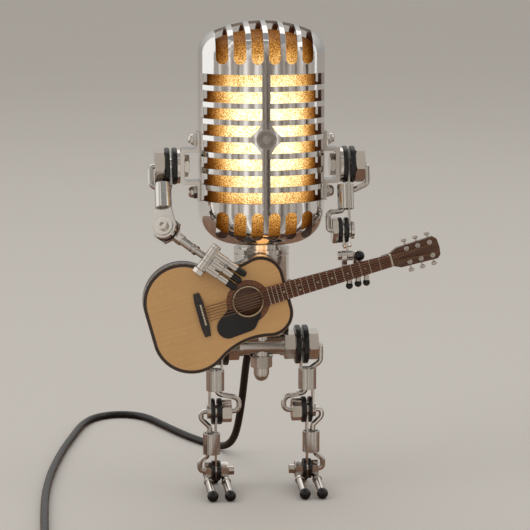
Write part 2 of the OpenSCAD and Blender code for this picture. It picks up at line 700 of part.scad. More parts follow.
module on_fret_elbow() { at() translate([0, fret_elbow_p[1], fret_elbow_p[2]]) children(); }

module right_arm_bolts() {
    color(chrome) {
        on_fret_elbow() {
            difference() {
                hex_x(8.2, 41, 44.4, a = 36);
                disc_x(rod_r + run, 37, 42.7);
                disc_x(2.02, 42.6, 46);
            }
            disc_x(2, 42.7, 54.4);
            disc_x(5.4, 52.4, 54.2, 2.02);
        }
        at() translate([0, fret_wrist_p[1], fret_wrist_p[2]]) {
            disc_x(1.3, 45.2, 56.2);
            disc_x(2.6, 43.9, 46);
        }
    }
}

module right_elbow_rings() {
    color(rubber) on_fret_elbow() {
        ring_x(7.6, 44.45, 47, 2.02);
        ring_x(7.6, 48.3, 50.8, 2.02);
    }
}

module right_forearm() {
    e = [47.65, fret_elbow_p[1], fret_elbow_p[2]];
    w = fret_wrist_p;
    v = unit(w - e);
    color(chrome) at() difference() {
        union() {
            translate([0, e[1], e[2]]) rotate([atan2(v[1], -v[2]), 0, 0]) strip(47.05, 48.25, 4.4, 2.02, 5.4, -9.6);
            bar(e + v * 8.3, e + v * 10.8, 2.6);
            bar(e + v * 10.7, w - v * 1, 1.2);
            translate([0, w[1], w[2]]) disc_x(2.9, 49.45, 52.75);
        }
        translate([0, w[1], w[2]]) disc_x(1.32, 48, 54);
        translate([0, e[1], e[2]]) disc_x(2.02, 40, 60);
    }
}

thumb_tip = [56.2, -20.9, 147];
fret_tip = [[50.4, -20.6, 129.2], [55.6, -20.6, 130.4], [60.6, -20.6, 131]];
module right_hand() {
    w = fret_wrist_p;
    color(chrome) at() difference() {
        union() {
            for (x = [46.2, 53]) {
                translate([0, w[1], w[2]]) disc_x(2.9, x, x + 3);
                translate([x, w[1] - 2.9, 138]) cube([3, 5, w[2] - 138]);
            }
            translate([46.4, -21.8, 136.4]) cube([16.2, 4.6, 5]);
            for (i = [0:2]) bar([fret_tip[i][0], -19.8, 137.4], fret_tip[i], 1.75);
            translate([56.2, -20.3, 140]) cylinder(r = 1.6, h = 6);
        }
        translate([0, w[1], w[2]]) disc_x(1.35, 40, 60);
        for (p = fret_tip) translate(p) sphere(r = 2.15);
        translate(thumb_tip) sphere(r = 3.1);
    }
}

module right_fingertips() {
    color(rubber) at() {
        for (p = fret_tip) translate(p) sphere(r = 2.15);
        translate(thumb_tip) sphere(r = 3.1);
    }
}

// ---------- guitar: x along the neck from the bridge, y up across it, z to the front ----------

guitar_p = [-37.6, -28.5, 114.7];
module guitar() { at() translate(guitar_p) rotate([0, -guitar_tilt, 0]) rotate([90, 0, 0]) children(); }

low_c = [-9, 10];                   // middle of the lower bout's corner arcs
low_r = 23.2;
up_c = [38.5, 10.5];                // middle of the upper bout's corner arcs
up_r = 13.8;
waist_r = 38;                       // radius of the hollow waist
// The waist arc touches both bouts.
wd = norm(up_c - low_c);
wa = low_r + waist_r;
wb = up_r + waist_r;
wx = (wa * wa - wb * wb + wd * wd) / (2 * wd);
wy = sqrt(wa * wa - wx * wx);
wu = unit(up_c - low_c);
waist_c = low_c + wu * wx + [-wu[1], wu[0]] * wy;
function ang(v) = atan2(v[1], v[0]);
function half_outline(d) = concat(
    arc(low_c[0], low_c[1], low_r - d, 180, ang(waist_c - low_c), 14),
    arc(waist_c[0], waist_c[1], waist_r + d, ang(low_c - waist_c), ang(up_c - waist_c), 10),
    arc(up_c[0], up_c[1], up_r - d, ang(waist_c - up_c), 0, 12));
function flip(p) = [for (i = [len(p) - 1:-1:0]) [p[i][0], -p[i][1]]];
function outline(d) = concat(half_outline(d), flip(half_outline(d)));
hole_x = 28;
nut_x = 115;
face_z = 0;

module guitar_body() {
    color(mahogany) guitar() difference() {
        translate([0, 0, -guitar_t]) linear_extrude(guitar_t - 1.2) polygon(outline(0));
        difference() {
            translate([0, 0, -guitar_t + 1.2]) linear_extrude(guitar_t) polygon(outline(1.3));
            translate([46, -6, -guitar_t]) cube([12, 12, guitar_t]);
        }
    }
}

module guitar_top() {
    color(spruce) guitar() difference() {
        translate([0, 0, -1.2]) linear_extrude(1.2) polygon(outline(0));
        translate([hole_x, 0, -3]) cylinder(r = hole_r, h = 6);
    }
}

module guitar_pickguard() {
    color(rubber) guitar() translate([0, 0, 0.02]) linear_extrude(0.5) difference() {
        polygon(concat(arc(12.7, -11.5, 6.7, 128, 270, 10), arc(24.5, -11.7, 5.6, 270, 335, 5), [[33, -10.4], [34.2, -6.5], [15, -1.6]]));
        translate([hole_x, 0]) circle(r = hole_r + 1.4);
    }
}

module guitar_bridge() {
    color(rosewood) guitar() translate([0, 0, 0.02]) difference() {
        union() {
            linear_extrude(1.5) polygon([[-2.7, 7.4], [2.5, 7.4], [2.5, -7.4], [-2.7, -7.4]]);
            linear_extrude(0.9) polygon([[-2, 13.3], [1.6, 13.3], [2.5, 7.4], [2.5, -7.4], [1.6, -13.3], [-2, -13.3], [-2.7, -7.4], [-2.7, 7.4]]);
            for (i = [0:5]) translate([-1.4, (i - 2.5) * 1.75, 1.4]) cylinder(r = 0.5, h = 0.7, $fn = 16);
        }
        translate([-0.1, -6.4, 0.8]) cube([1.1, 12.8, 3]);
    }
}

module guitar_bone_parts() {
    color(bone) guitar() {
        translate([0, -6.3, 0.84]) cube([0.9, 12.6, 1.3]);
        translate([nut_x, -3.7, -0.78]) cube([1.2, 7.4, 2.8]);
    }
}

module guitar_neck() {
    color(mahogany) guitar() {
        hull() {
            translate([52.35, 0, 0]) rotate([90, 0, 90]) linear_extrude(0.1) polygon(concat([[5.2, -0.05], [-5.2, -0.05]], arc(0, -0.9, 5.1, 190, 350, 10)));
            translate([nut_x - 1.2, 0, 0]) rotate([90, 0, 90]) linear_extrude(0.1) polygon(concat([[3.75, -0.05], [-3.75, -0.05]], arc(0, -0.6, 3.7, 190, 350, 10)));
        }
        translate([52.35, -4.2, -9.4]) cube([3.6, 8.4, 6]);
        translate([0, 0, -4]) linear_extrude(3.2) polygon([[nut_x - 4, 3.7], [nut_x + 1, 3.8], [nut_x + 5.6, 6], [143, 6.8], [145.1, 4.8], [145.6, 0], [145.1, -4.8], [143, -6.8], [nut_x + 5.6, -6], [nut_x + 1, -3.8], [nut_x - 4, -3.7]]);
    }
}

module guitar_fretboard() {
    color(rosewood) guitar() translate([0, 0, 0.02]) linear_extrude(1.5)
        polygon([[36.9, 5.3], [nut_x - 0.05, 3.75], [nut_x - 0.05, -3.75], [36.9, -5.3]]);
}

// Frets divide the string by the twelfth root of two.
function fret_x(n) = nut_x - nut_x * (1 - pow(2, -n / 12));
module guitar_frets() {
    color(bone) guitar() for (n = [1:fret_count]) {
        w = 3.75 + (nut_x - fret_x(n)) / (nut_x - 36.9) * 1.5;
        translate([fret_x(n) - 0.2, -w, 1.53]) cube([0.4, 2 * w, 0.25]);
    }
}

module guitar_strings() {
    color(dark_chrome) guitar() for (i = [0:5]) {
        y0 = (i - 2.5) * 1.75;
        y1 = (i - 2.5) * 1.15;
        bar([0.4, y0, 2.36], [nut_x + 0.6, y1, 2.24], 0.2 + 0.02 * i);
    }
    // from the nut to the posts: the outer strings go to the nearest posts
    color(dark_chrome) guitar() for (i = [0:2], s = [-1, 1])
        bar([nut_x + 1.5, s * (0.575 + i * 1.15), 2.1], [tuner_x[2 - i] - 0.6, s * 2.85, 0.5], 0.22);
}

tuner_x = [126.3, 133.2, 140.4];
function head_half_w(x) = 6 + 0.8 * (x - nut_x - 5.6) / (143 - nut_x - 5.6);
module guitar_tuners() {
    color(chrome) guitar() for (x = tuner_x, s = [-1, 1]) {
        translate([x, s * 4, -0.78]) cylinder(r = 1.5, h = 0.4, $fn = 24);
        translate([x, s * 4, -0.78]) cylinder(r = 0.8, h = 2.2, $fn = 24);
        translate([x, s * (head_half_w(x) + 0.03), -2.4]) rotate([-s * 90, 0, 0]) cylinder(r = 0.55, h = 9.2 - 0.8 - head_half_w(x), $fn = 24);
        translate([x, s * 9.2, -2.4]) scale([1.5, 1, 0.8]) sphere(r = 1.2, $fn = 24);
    }
}

module guitar_bracket() {
    color(dark_chrome) at() difference() {
        translate([-9, -guitar_t - 6.4 - 0.08, 112]) translate([0, 0, 0]) cube([18, 8, 20]);
        translate([0, 0, 100]) cylinder(r = torso_r + 0.02, h = 50);
        translate([-20, -40, 100]) cube([40, 40 - guitar_t - 6.48, 60]);
    }
}

// ---------- cord ----------

gland_l = 26;
module cord_gland() {
    color(rubber) at() gland_axis() rotate_extrude() polygon([[0, -2.5], [3.4, -2.5], [3.4, 3.4], [5, 4.2], [5, 6.2],
        [4.6, 6.6], [3.9, 8], [cord_d / 2 + 0.8, gland_l], [0, gland_l]]);
}

function gland_at(l) = gland_p + [0, sin(gland_tilt) * l, cos(gland_tilt) * l];
// The cord's route: out of the gland, down to the floor behind the lamp, round
// in one wide loop to the left and forward to the coil.
cz = cord_d / 2 + 0.02;
coil_c = [-98, -153];
coil_in = 18.6;                     // radius of the coil's inside
coil_out = 36.2;                    // radius of the coil's outside
coil_z = 0.55;                      // the tie lies under the coil here
coil_h = 9.75;
tie_t = 0.45;                       // thickness of the tie round the coil
route = concat([gland_at(gland_l), gland_at(gland_l + 5)], [
    [-4.6, 44, 73.5], [-5.4, 53, 59], [-6.2, 62, 43], [-7.4, 70.5, 28], [-9.4, 79, 15], [-12.8, 88, 6.8], [-17.8, 97.5, 3.2],
    [-24, 107, cz], [-31, 118, cz], [-38, 131, cz], [-45, 146, cz], [-52, 162, cz], [-58, 176, cz], [-64.5, 187, cz], [-75, 194.5, cz],
    [-87.5, 194.5, cz], [-98, 187, cz], [-104.5, 175, cz], [-110, 155, cz], [-114.5, 132, cz], [-119, 108, cz], [-123, 82, cz], [-126.6, 54, cz],
    [-129.4, 24, cz], [-131, -8, cz], [-131.4, -40, cz], [-131.2, -72, cz], [-130.8, -104, cz], [-130.5, -126, cz], [-130.4, -141, cz]]);

// A tube of eight sides swept along the route.
sides = 10;
function tan_at(p, i) = unit(p[min(len(p) - 1, i + 1)] - p[max(0, i - 1)]);
function side_at(p, i) = let (t = tan_at(p, i), q = cross(t, [1, 0, 0])) norm(q) > 0.25 ? unit(q) : unit(cross(t, [0, 0, 1]));
// One steady side direction for the whole route keeps the tube free of twist.
function ref_at(p, i) = i == 0 ? unit(cross(cross(tan_at(p, 0), [1, 0, 0]), tan_at(p, 0)))
    : let (r = ref_at(p, i - 1), t = tan_at(p, i)) unit(r - t * (r * t));
module tube(p, r) {
    n = len(p);
    rings = [for (i = [0:n - 1]) let (t = tan_at(p, i), a = ref_at(p, i), b = cross(t, a))
        [for (k = [0:sides - 1]) p[i] + r * (cos((k + 0.5) * 360 / sides) * a + sin((k + 0.5) * 360 / sides) * b)]];
    pts = [for (g = rings, q = g) q];
    polyhedron(points = pts, faces = concat(
        [[for (k = [0:sides - 1]) k]],
        [for (i = [0:n - 2], k = [0:sides - 1]) [i * sides + k, (i + 1) * sides + k, (i + 1) * sides + (k + 1) % sides, i * sides + (k + 1) % sides]],
        [[for (k = [sides - 1:-1:0]) (n - 1) * sides + k]]));
}

module power_cord() { color(rubber) at() { tube(route, cord_d / 2 * 0.98); tube(tail, cord_d / 2 * 0.98); } }

// A ring's section between two radii and two heights, with its edges taken off by e.
function coil_2d(a, b, z, h, e) = [[a + e, z], [b - e, z], [b, z + e], [b, z + h - e], [b - e, z + h], [a + e, z + h], [a, z + h - e], [a, z + e]];
module at_coil() { at() translate([coil_c[0], coil_c[1], 0]) children(); }
module cord_coil() {
    color(rubber) at_coil() rotate_extrude() polygon(coil_2d(coil_in, coil_out, coil_z, coil_h, 1.4));
}

// A flat tie that holds the coil's turns together, on the side away from the plug.
module cord_tie() {
    color([0.12, 0.12, 0.13]) at_coil() rotate([0, 0, 128]) intersection() {
        rotate_extrude() difference() {
            polygon(coil_2d(coil_in - tie_t, coil_out + tie_t, coil_z - tie_t, coil_h + 2 * tie_t, 1.6));
            polygon(coil_2d(coil_in, coil_out, coil_z, coil_h, 1.4));
        }
        translate([0, -3, 0]) cube([60, 6, 30]);
    }
}

// The far end of the cord leaves the coil on top and goes down into the plug.
tail = [[-89.5, -185.4, 7.6], [-79.9, -183.1, 7.2], [-70.2, -181, 6.2], [-60.5, -179, 5], [-51, -177.1, 4.3], [-47, -176.3, 4.12]];
plug_a = atan2(tail[5][1] - tail[4][1], tail[5][0] - tail[4][0]);
module at_plug() { at() translate([tail[5][0], tail[5][1], 0]) rotate([0, 0, plug_a]) children(); }
module cord_plug() {
    color(rubber) at_plug() {
        translate([12, -8, 0.02]) cube([28, 16, 8.2]);
        translate([0.05, 0, 4.12]) rotate([0, 90, 0]) cylinder(r = 3, h = 13);
    }
}
module plug_shell() {
    color(chrome) at_plug() difference() {
        translate([40.02, -6, 1.8]) cube([12, 12, 4.6]);
        translate([41, -5.6, 4]) cube([12, 11.2, 2]);
    }
}

head_front_shell();
head_rear_shell();
head_badge();
mesh_liner();
lamp_holder();
bulb();
neck_collar();
torso_tube();
dimmer_module();
inner_wire();
hip_barrel();
crotch_nut();
crotch_cap();
shoulder_brackets();
bracket_cap_nuts();
shoulder_bolts();
shoulder_rubber_rings();
hip_bolts();
hip_rubber_rings();
guitar_bracket();
guitar_body();
guitar_top();
guitar_pickguard();
guitar_bridge();
guitar_bone_parts();
guitar_neck();
guitar_fretboard();
guitar_frets();
guitar_strings();
guitar_tuners();
left_upper_arm();
left_forearm();
left_hand();
left_fingertips();
left_arm_bolts();
left_elbow_ring();
right_upper_arm();
right_forearm();
right_hand();
right_fingertips();
right_arm_bolts();
right_elbow_rings();
left_thigh();
left_shin();
left_foot();
left_toe_tips();
left_leg_bolts();
left_leg_rubber_rings();
right_thigh();
right_shin();
right_foot();
right_toe_tips();
right_leg_bolts();
right_leg_rubber_rings();
cord_gland();
power_cord();
cord_coil();
cord_tie();
cord_plug();
plug_shell();
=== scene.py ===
# The look of a desk lamp shaped like a small metal robot with a guitar.
# Everything is in metres, in the row frame; mm() turns a point measured in
# millimetres from the head's axis into that frame.
import bpy, bmesh, math, random
import numpy as np
from mathutils import Matrix, Vector


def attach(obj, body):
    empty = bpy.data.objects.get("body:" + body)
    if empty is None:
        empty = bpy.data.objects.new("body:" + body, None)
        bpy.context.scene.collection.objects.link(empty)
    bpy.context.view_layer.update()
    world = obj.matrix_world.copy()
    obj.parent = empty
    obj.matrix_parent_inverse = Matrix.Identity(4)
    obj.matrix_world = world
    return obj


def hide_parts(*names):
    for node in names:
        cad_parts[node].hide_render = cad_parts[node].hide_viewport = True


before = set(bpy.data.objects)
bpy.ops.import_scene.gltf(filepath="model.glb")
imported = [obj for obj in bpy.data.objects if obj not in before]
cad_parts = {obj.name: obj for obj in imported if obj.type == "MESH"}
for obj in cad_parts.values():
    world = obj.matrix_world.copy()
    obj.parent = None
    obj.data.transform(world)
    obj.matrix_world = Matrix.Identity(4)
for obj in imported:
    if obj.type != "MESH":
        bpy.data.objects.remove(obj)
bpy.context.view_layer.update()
ROOT = "head_and_torso"
SHIFT = (-15.76, 0.54, 0.0)
scene = bpy.context.scene


def mm(p):
    return Vector(((p[0] + SHIFT[0]) / 1000, (p[1] + SHIFT[1]) / 1000, (p[2] + SHIFT[2]) / 1000))


# ---------------------------------------------------------------- camera

cam = bpy.data.objects.new("camera", bpy.data.cameras.new("camera"))
scene.collection.objects.link(cam)
cam.data.sensor_width = 36
cam.data.lens = 135.85
cam.location = (-0.13326, -1.17786, 0.33148)
cam.rotation_mode = "QUATERNION"
cam.rotation_quaternion = (Vector((-0.01356, 0.00054, 0.1390)) - cam.location).to_track_quat("-Z", "Y")
cam.data.clip_start, cam.data.clip_end = 0.05, 60
scene.camera = cam

# ---------------------------------------------------------------- mesh helpers


def new_mesh(name, verts, faces, body=ROOT, smooth=True, auto=35):
    me = bpy.data.meshes.new(name)
    me.from_pydata([tuple(v) for v in verts], [], faces)
    me.update()
    ob = bpy.data.objects.new(name, me)
    scene.collection.objects.link(ob)
    bm = bmesh.new()
    bm.from_mesh(me)
    bmesh.ops.recalc_face_normals(bm, faces=bm.faces)
    bm.to_mesh(me)
    bm.free()
    if smooth:
        soften(ob, auto)
    if body:
        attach(ob, body)
    return ob


def soften(ob, angle=35):
    """Smooth shading with the sharp edges kept."""
    me = ob.data
    for p in me.polygons:
        p.use_smooth = True
    me.set_sharp_from_angle(angle=math.radians(angle))


def tube(points, radius, sides=16, closed=False, name="tube", body=ROOT, caps=True):
    """A swept round tube. radius is one number or one for each point."""
    pts = [Vector(p) for p in points]
    n = len(pts)
    rad = radius if hasattr(radius, "__len__") else [radius] * n
    ref, rings = None, []
    for i, p in enumerate(pts):
        t = (pts[(i + 1) % n if closed else min(n - 1, i + 1)] - pts[(i - 1) % n if closed else max(0, i - 1)]).normalized()
        if ref is None:
            ref = t.orthogonal().normalized()
        ref = (ref - t * ref.dot(t)).normalized()
        b = t.cross(ref)
        rings.append([p + rad[i] * (math.cos(a) * ref + math.sin(a) * b) for a in [2 * math.pi * k / sides for k in range(sides)]])
    v = [q for g in rings for q in g]
    f = []
    for i in range(n if closed else n - 1):
        j = (i + 1) % n
        f += [(i * sides + k, i * sides + (k + 1) % sides, j * sides + (k + 1) % sides, j * sides + k) for k in range(sides)]
    if caps and not closed:
        f += [tuple(range(sides)), tuple((n - 1) * sides + k for k in range(sides))]
    return new_mesh(name, v, f, body)


def lathe(profile, place, name, body=ROOT, n=48, closed=False, auto=35):
    """profile: (radius, height) points in mm, turned about local Z; place: a 4x4 in metres."""
    v, f, m = [], [], len(profile)
    for k in range(n):
        a = 2 * math.pi * k / n
        v += [place @ Vector((r * math.cos(a) / 1000, r * math.sin(a) / 1000, z / 1000)) for r, z in profile]
    for k in range(n):
        j = (k + 1) % n
        for i in range(m if closed else m - 1):
            i2 = (i + 1) % m
            f.append((k * m + i, j * m + i, j * m + i2, k * m + i2))
    ob = new_mesh(name, v, f, None, smooth=False)
    bm = bmesh.new()
    bm.from_mesh(ob.data)
    bmesh.ops.remove_doubles(bm, verts=bm.verts, dist=1e-7)
    bmesh.ops.recalc_face_normals(bm, faces=bm.faces)
    bm.to_mesh(ob.data)
    bm.free()
    soften(ob, auto)
    if body:
        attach(ob, body)
    return ob


def join(objs, name, body=ROOT):
    """Several meshes as one piece."""
    bm = bmesh.new()
    for o in objs:
        me = o.data.copy()
        me.transform(o.matrix_world)
        bm.from_mesh(me)
        bpy.data.meshes.remove(me)
        bpy.data.objects.remove(o)
    me = bpy.data.meshes.new(name)
    bm.to_mesh(me)
    bm.free()
    ob = bpy.data.objects.new(name, me)
    scene.collection.objects.link(ob)
    if body:
        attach(ob, body)
    return ob


# ---------------------------------------------------------------- materials


class Mat:
    """A small builder of node materials. Coordinates are the row frame's, in metres."""

    def __init__(s, name, **fixed):
        s.m = bpy.data.materials.new(name)
        s.m.use_nodes = True
        s.t = s.m.node_tree
        s.t.nodes.clear()
        s.out = s.t.nodes.new("ShaderNodeOutputMaterial")
        s.b = s.t.nodes.new("ShaderNodeBsdfPrincipled")
        s.t.links.new(s.b.outputs[0], s.out.inputs[0])
        for k, v in fixed.items():
            s.b.inputs[k.replace("_", " ")].default_value = v
        s._co = None

    def put(s, sock, v):
        if isinstance(v, bpy.types.NodeSocket):
            s.t.links.new(v, sock)
        else:
            sock.default_value = v

    def n(s, kind, ins=(), **props):
        nd = s.t.nodes.new("ShaderNode" + kind)
        for k, v in props.items():
            setattr(nd, k, v)
        for k, v in dict(ins).items():
            s.put(nd.inputs[k], v)
        return nd

    @property
    def co(s):
        if s._co is None:
            s._co = s.n("TexCoord").outputs["Object"]
        return s._co

    def mapped(s, loc=(0, 0, 0), rot=(0, 0, 0), scale=(1, 1, 1), kind="POINT", vec=None):
        nd = s.n("Mapping", {"Vector": vec or s.co}, vector_type=kind)
        nd.inputs["Location"].default_value = loc
        nd.inputs["Rotation"].default_value = rot
        nd.inputs["Scale"].default_value = scale
        return nd.outputs[0]

    def f(s, op, a, b=0.0, c=0.0, clamp=False):
        nd = s.n("Math", {0: a, 1: b, 2: c}, operation=op, use_clamp=clamp)
        return nd.outputs[0]

    def split(s, vec=None):
        nd = s.n("SeparateXYZ", {0: vec or s.co})
        return nd.outputs[0], nd.outputs[1], nd.outputs[2]

    def noise(s, scale, detail=2.0, rough=0.5, vec=None, dist=0.0):
        nd = s.n("TexNoise", {"Vector": vec or s.co, "Scale": scale, "Detail": detail, "Roughness": rough, "Distortion": dist})
        return nd.outputs[0]

    def voronoi(s, scale, vec=None, feature="F1", out="Distance", rand=1.0):
        nd = s.n("TexVoronoi", {"Vector": vec or s.co, "Scale": scale, "Randomness": rand}, feature=feature)
        return nd.outputs[out]

    def ramp(s, fac, stops, mode="LINEAR"):
        nd = s.n("ValToRGB", {0: fac})
        r = nd.color_ramp
        r.interpolation = mode
        while len(r.elements) < len(stops):
            r.elements.new(0.5)
        for e, (p, c) in zip(r.elements, stops):
            e.position = p
            e.color = (*c, 1) if hasattr(c, "__len__") else (c, c, c, 1)
        return nd.outputs[0]

    def mix(s, fac, a, b, blend="MIX"):
        nd = s.n("Mix", data_type="RGBA", blend_type=blend)
        s.put(nd.inputs[0], fac)
        for i, v in ((6, a), (7, b)):
            s.put(nd.inputs[i], v if isinstance(v, bpy.types.NodeSocket) or len(v) == 4 else (*v, 1))
        return nd.outputs[2]

    def range(s, v, a, b, c, d):
        nd = s.n("MapRange", {0: v, 1: a, 2: b, 3: c, 4: d})
        return nd.outputs[0]

    def bump(s, height, strength=0.3, distance=0.0002, normal=None):
        nd = s.n("Bump", {"Height": height, "Strength": strength, "Distance": distance})
        if normal is not None:
            s.put(nd.inputs["Normal"], normal)
        return nd.outputs[0]

    def to(s, name, v):
        s.put(s.b.inputs[name], v)


def inward(m):
    """1 on the head shells' inner faces and in the slots' walls, 0 on the outside: where the painted shade and glow of
    the inside go.
    """
    g = m.n("NewGeometry")
    px, py, pz = m.split()
    nx, ny, nz = m.split(g.outputs["True Normal"])
    c = mm((0, 0, 219))
    parts = [m.f("MULTIPLY", m.f("MULTIPLY", m.f("SUBTRACT", q, o), 1 / r), k)
             for q, o, r, k in ((px, c.x, 0.038, nx), (py, c.y, 0.030, ny), (pz, c.z, 0.070, nz))]
    return m.range(m.f("ADD", m.f("ADD", parts[0], parts[1]), parts[2]), 0.08, 0.28, 1.0, 0.0)


def metal(name, tint, low, high, line=(0, 0, 0), line_scale=0.0, wave=0.12, spots=0.05, edge=0.0003, painted_inner_shade=False):
    """Plated steel: smudged gloss, faint polishing waves, hair scratches and a few dull specks."""
    m = Mat(name, Metallic=1.0)
    smudge = m.noise(70, 4, 0.6)
    fine = m.noise(900, 3, 0.6)
    scratch = m.noise(1.0, 2, 0.5, vec=m.mapped(rot=(0.6, 0.3, 0.9), scale=(160, 2600, 900)))
    rough = m.range(m.f("ADD", m.f("MULTIPLY", smudge, 0.75), m.f("MULTIPLY", fine, 0.25)), 0.3, 0.7, low, high)
    rough = m.f("ADD", rough, m.range(scratch, 0.62, 0.78, 0.0, 0.10))
    m.to("Roughness", rough)
    speck = m.range(m.noise(420, 5, 0.7), 0.66, 0.74, 0.0, spots)
    dark = m.f("ADD", m.f("MULTIPLY", m.range(smudge, 0.35, 0.7, 0.0, 1.0), 0.05), speck)
    col = m.mix(dark, tint, (tint[0] * 0.45, tint[1] * 0.4, tint[2] * 0.34))
    if painted_inner_shade:  # the inside of the shells is unpolished, and its colour is painted shade: dark amber-brown with the bulb's warm glow on it
        inner = inward(m)
        m.to("Roughness", m.f("ADD", rough, m.f("MULTIPLY", inner, 0.42)))
        col = m.mix(inner, col, m.mix(m.range(fine, 0.35, 0.65, 0, 1), (0.060, 0.024, 0.008), (0.17, 0.072, 0.022)))
    m.to("Base Color", col)
    h = m.f("ADD", m.f("MULTIPLY", m.noise(55, 1, 0.4), wave), m.f("MULTIPLY", scratch, 0.03))
    if line_scale:
        turned = m.noise(1.0, 1, 0.5, vec=m.mapped(scale=tuple(line_scale if k else 12 for k in line)))
        h = m.f("ADD", h, m.f("MULTIPLY", turned, 0.10))
    eased = m.n("Bevel", {"Radius": edge}, samples=4).outputs[0]
    m.to("Normal", m.bump(h, 0.35, 0.00035, eased))
    return m.m


M = {}
M["head"] = metal("chrome_head", (0.82, 0.81, 0.80), 0.035, 0.11, wave=0.25, painted_inner_shade=True)
M["tube"] = metal("chrome_tube", (0.70, 0.675, 0.64), 0.07, 0.17, line=(0, 0, 1), line_scale=3200)
M["nut"] = metal("chrome_nut", (0.74, 0.70, 0.65), 0.09, 0.22, line=(1, 0, 0), line_scale=2600, spots=0.09)
M["rod"] = metal("chrome_rod", (0.72, 0.69, 0.65), 0.08, 0.2, spots=0.09)


def brushed():
    m = Mat("brushed_metal", Metallic=1.0)
    p = mm((0, -30, 217.4))
    x, y, z = m.split(m.mapped(loc=(-p.x, 0, -p.z)))
    r = m.f("SQRT", m.f("ADD", m.f("MULTIPLY", x, x), m.f("MULTIPLY", z, z)))
    rings = m.noise(1.0, 2, 0.6, vec=m.n("CombineXYZ", {0: m.f("MULTIPLY", r, 5200.0)}).outputs[0])
    stain = m.noise(300, 4, 0.6)
    col = m.mix(m.range(stain, 0.35, 0.7, 0, 1), (0.66, 0.64, 0.61), (0.46, 0.43, 0.40))
    # painted shade: the badge's recessed ring between the boss and the rim is darkened
    recess_shade = m.f("MULTIPLY", m.range(r, 0.00240, 0.00250, 0, 1), m.range(r, 0.00478, 0.00490, 1, 0))
    m.to("Base Color", m.mix(m.f("MULTIPLY", recess_shade, 0.3), col, (0.16, 0.13, 0.11)))
    m.to("Roughness", m.range(rings, 0.3, 0.7, 0.2, 0.38))
    m.to("Normal", m.bump(m.f("ADD", rings, m.f("MULTIPLY", stain, 0.3)), 0.25, 0.0001))
    return m.m


M["brushed"] = brushed()


def lit_mesh():
    """Fine gilded mesh with a painted glow in place of the bulb's light behind it: brightest in front of the bulb, with
    painted shade toward the sides, crown and base.
    """
    m = Mat("lit_mesh", Metallic=0.35)
    p = mm((0, 0, 219))
    x, y, z = m.split(m.mapped(loc=(-p.x, -p.y, -p.z)))
    # painted light: the emission falls off from the bulb's front into painted shade at the sides, crown and base
    fx = m.f("MULTIPLY", x, 1 / 0.0266)
    fz = m.f("MULTIPLY", m.f("MAXIMUM", z, m.f("MULTIPLY", z, -1.0)), 1 / 0.0490)
    glow = m.f("EXPONENT", m.f("MULTIPLY", m.f("ADD", m.f("POWER", m.f("ABSOLUTE", fx), 4.6), m.f("POWER", m.f("ABSOLUTE", fz), 2.8)), -1.0))
    cell = m.voronoi(1450, feature="F1")
    grain = m.f("ADD", m.f("MULTIPLY", cell, -1.0), m.f("ADD", m.f("MULTIPLY", m.noise(1900, 2, 0.7), 1.0), 0.62))
    cloud = m.range(m.noise(170, 3, 0.6), 0.3, 0.7, 0.82, 1.12)
    level = m.f("MULTIPLY", m.f("MULTIPLY", glow, cloud), m.range(grain, 0.42, 0.98, 0.62, 1.30))
    m.to("Base Color", m.mix(m.range(grain, 0.42, 0.95, 0, 1), (0.020, 0.007, 0.002), (0.20, 0.082, 0.018)))
    m.to("Roughness", m.range(grain, 0.3, 1.0, 0.62, 0.38))
    m.to("Emission Color", m.ramp(level, [(0.0, (0.16, 0.035, 0.002)), (0.10, (0.50, 0.145, 0.010)), (0.34, (1.0, 0.46, 0.09)), (0.62, (1.0, 0.74, 0.32)), (0.95, (1.0, 0.86, 0.52))]))
    m.to("Emission Strength", m.f("MULTIPLY", m.f("ADD", m.f("POWER", level, 1.15), 0.012), 2.3))
    m.to("Normal", m.bump(grain, 0.8, 0.0004))
    return m.m


M["mesh"] = lit_mesh()


def rubber(name, tone=0.018, gloss=0.42, coat=0.0):
    m = Mat(name)
    m.b.inputs["Specular IOR Level"].default_value = 0.35
    m.b.inputs["Coat Weight"].default_value = coat
    m.b.inputs["Coat Roughness"].default_value = 0.18
    a, b = m.noise(260, 4, 0.6), m.noise(2400, 3, 0.6)
    m.to("Base Color", m.mix(m.range(a, 0.35, 0.7, 0, 1), (tone, tone, tone * 1.06), (tone * 2.1, tone * 2.0, tone * 1.95)))
    m.to("Roughness", m.range(m.f("ADD", m.f("MULTIPLY", a, 0.6), m.f("MULTIPLY", b, 0.4)), 0.3, 0.7, gloss - 0.08, gloss + 0.14))
    m.to("Normal", m.bump(m.f("ADD", m.f("MULTIPLY", a, 0.4), b), 0.25, 0.00012))
    return m.m


M["rubber"] = rubber("black_rubber", 0.006, 0.27, 0.3)
M["cord"] = rubber("cord_plastic", 0.005, 0.24, 0.3)
M["tie"] = rubber("tie_nylon", 0.020, 0.40)


def guitar_space(m):
    """Millimetres along the neck (x), across it (y) and out of the face (z)."""
    a = math.radians(15.3)
    rot = Matrix(((math.cos(a), -math.sin(a), 0), (0, 0, -1), (math.sin(a), math.cos(a), 0))).to_4x4()
    p = mm((-37.6, -28.5, 114.7))
    e = rot.to_euler()
    return m.mapped(loc=p, rot=e, scale=(0.001, 0.001, 0.001), kind="TEXTURE")


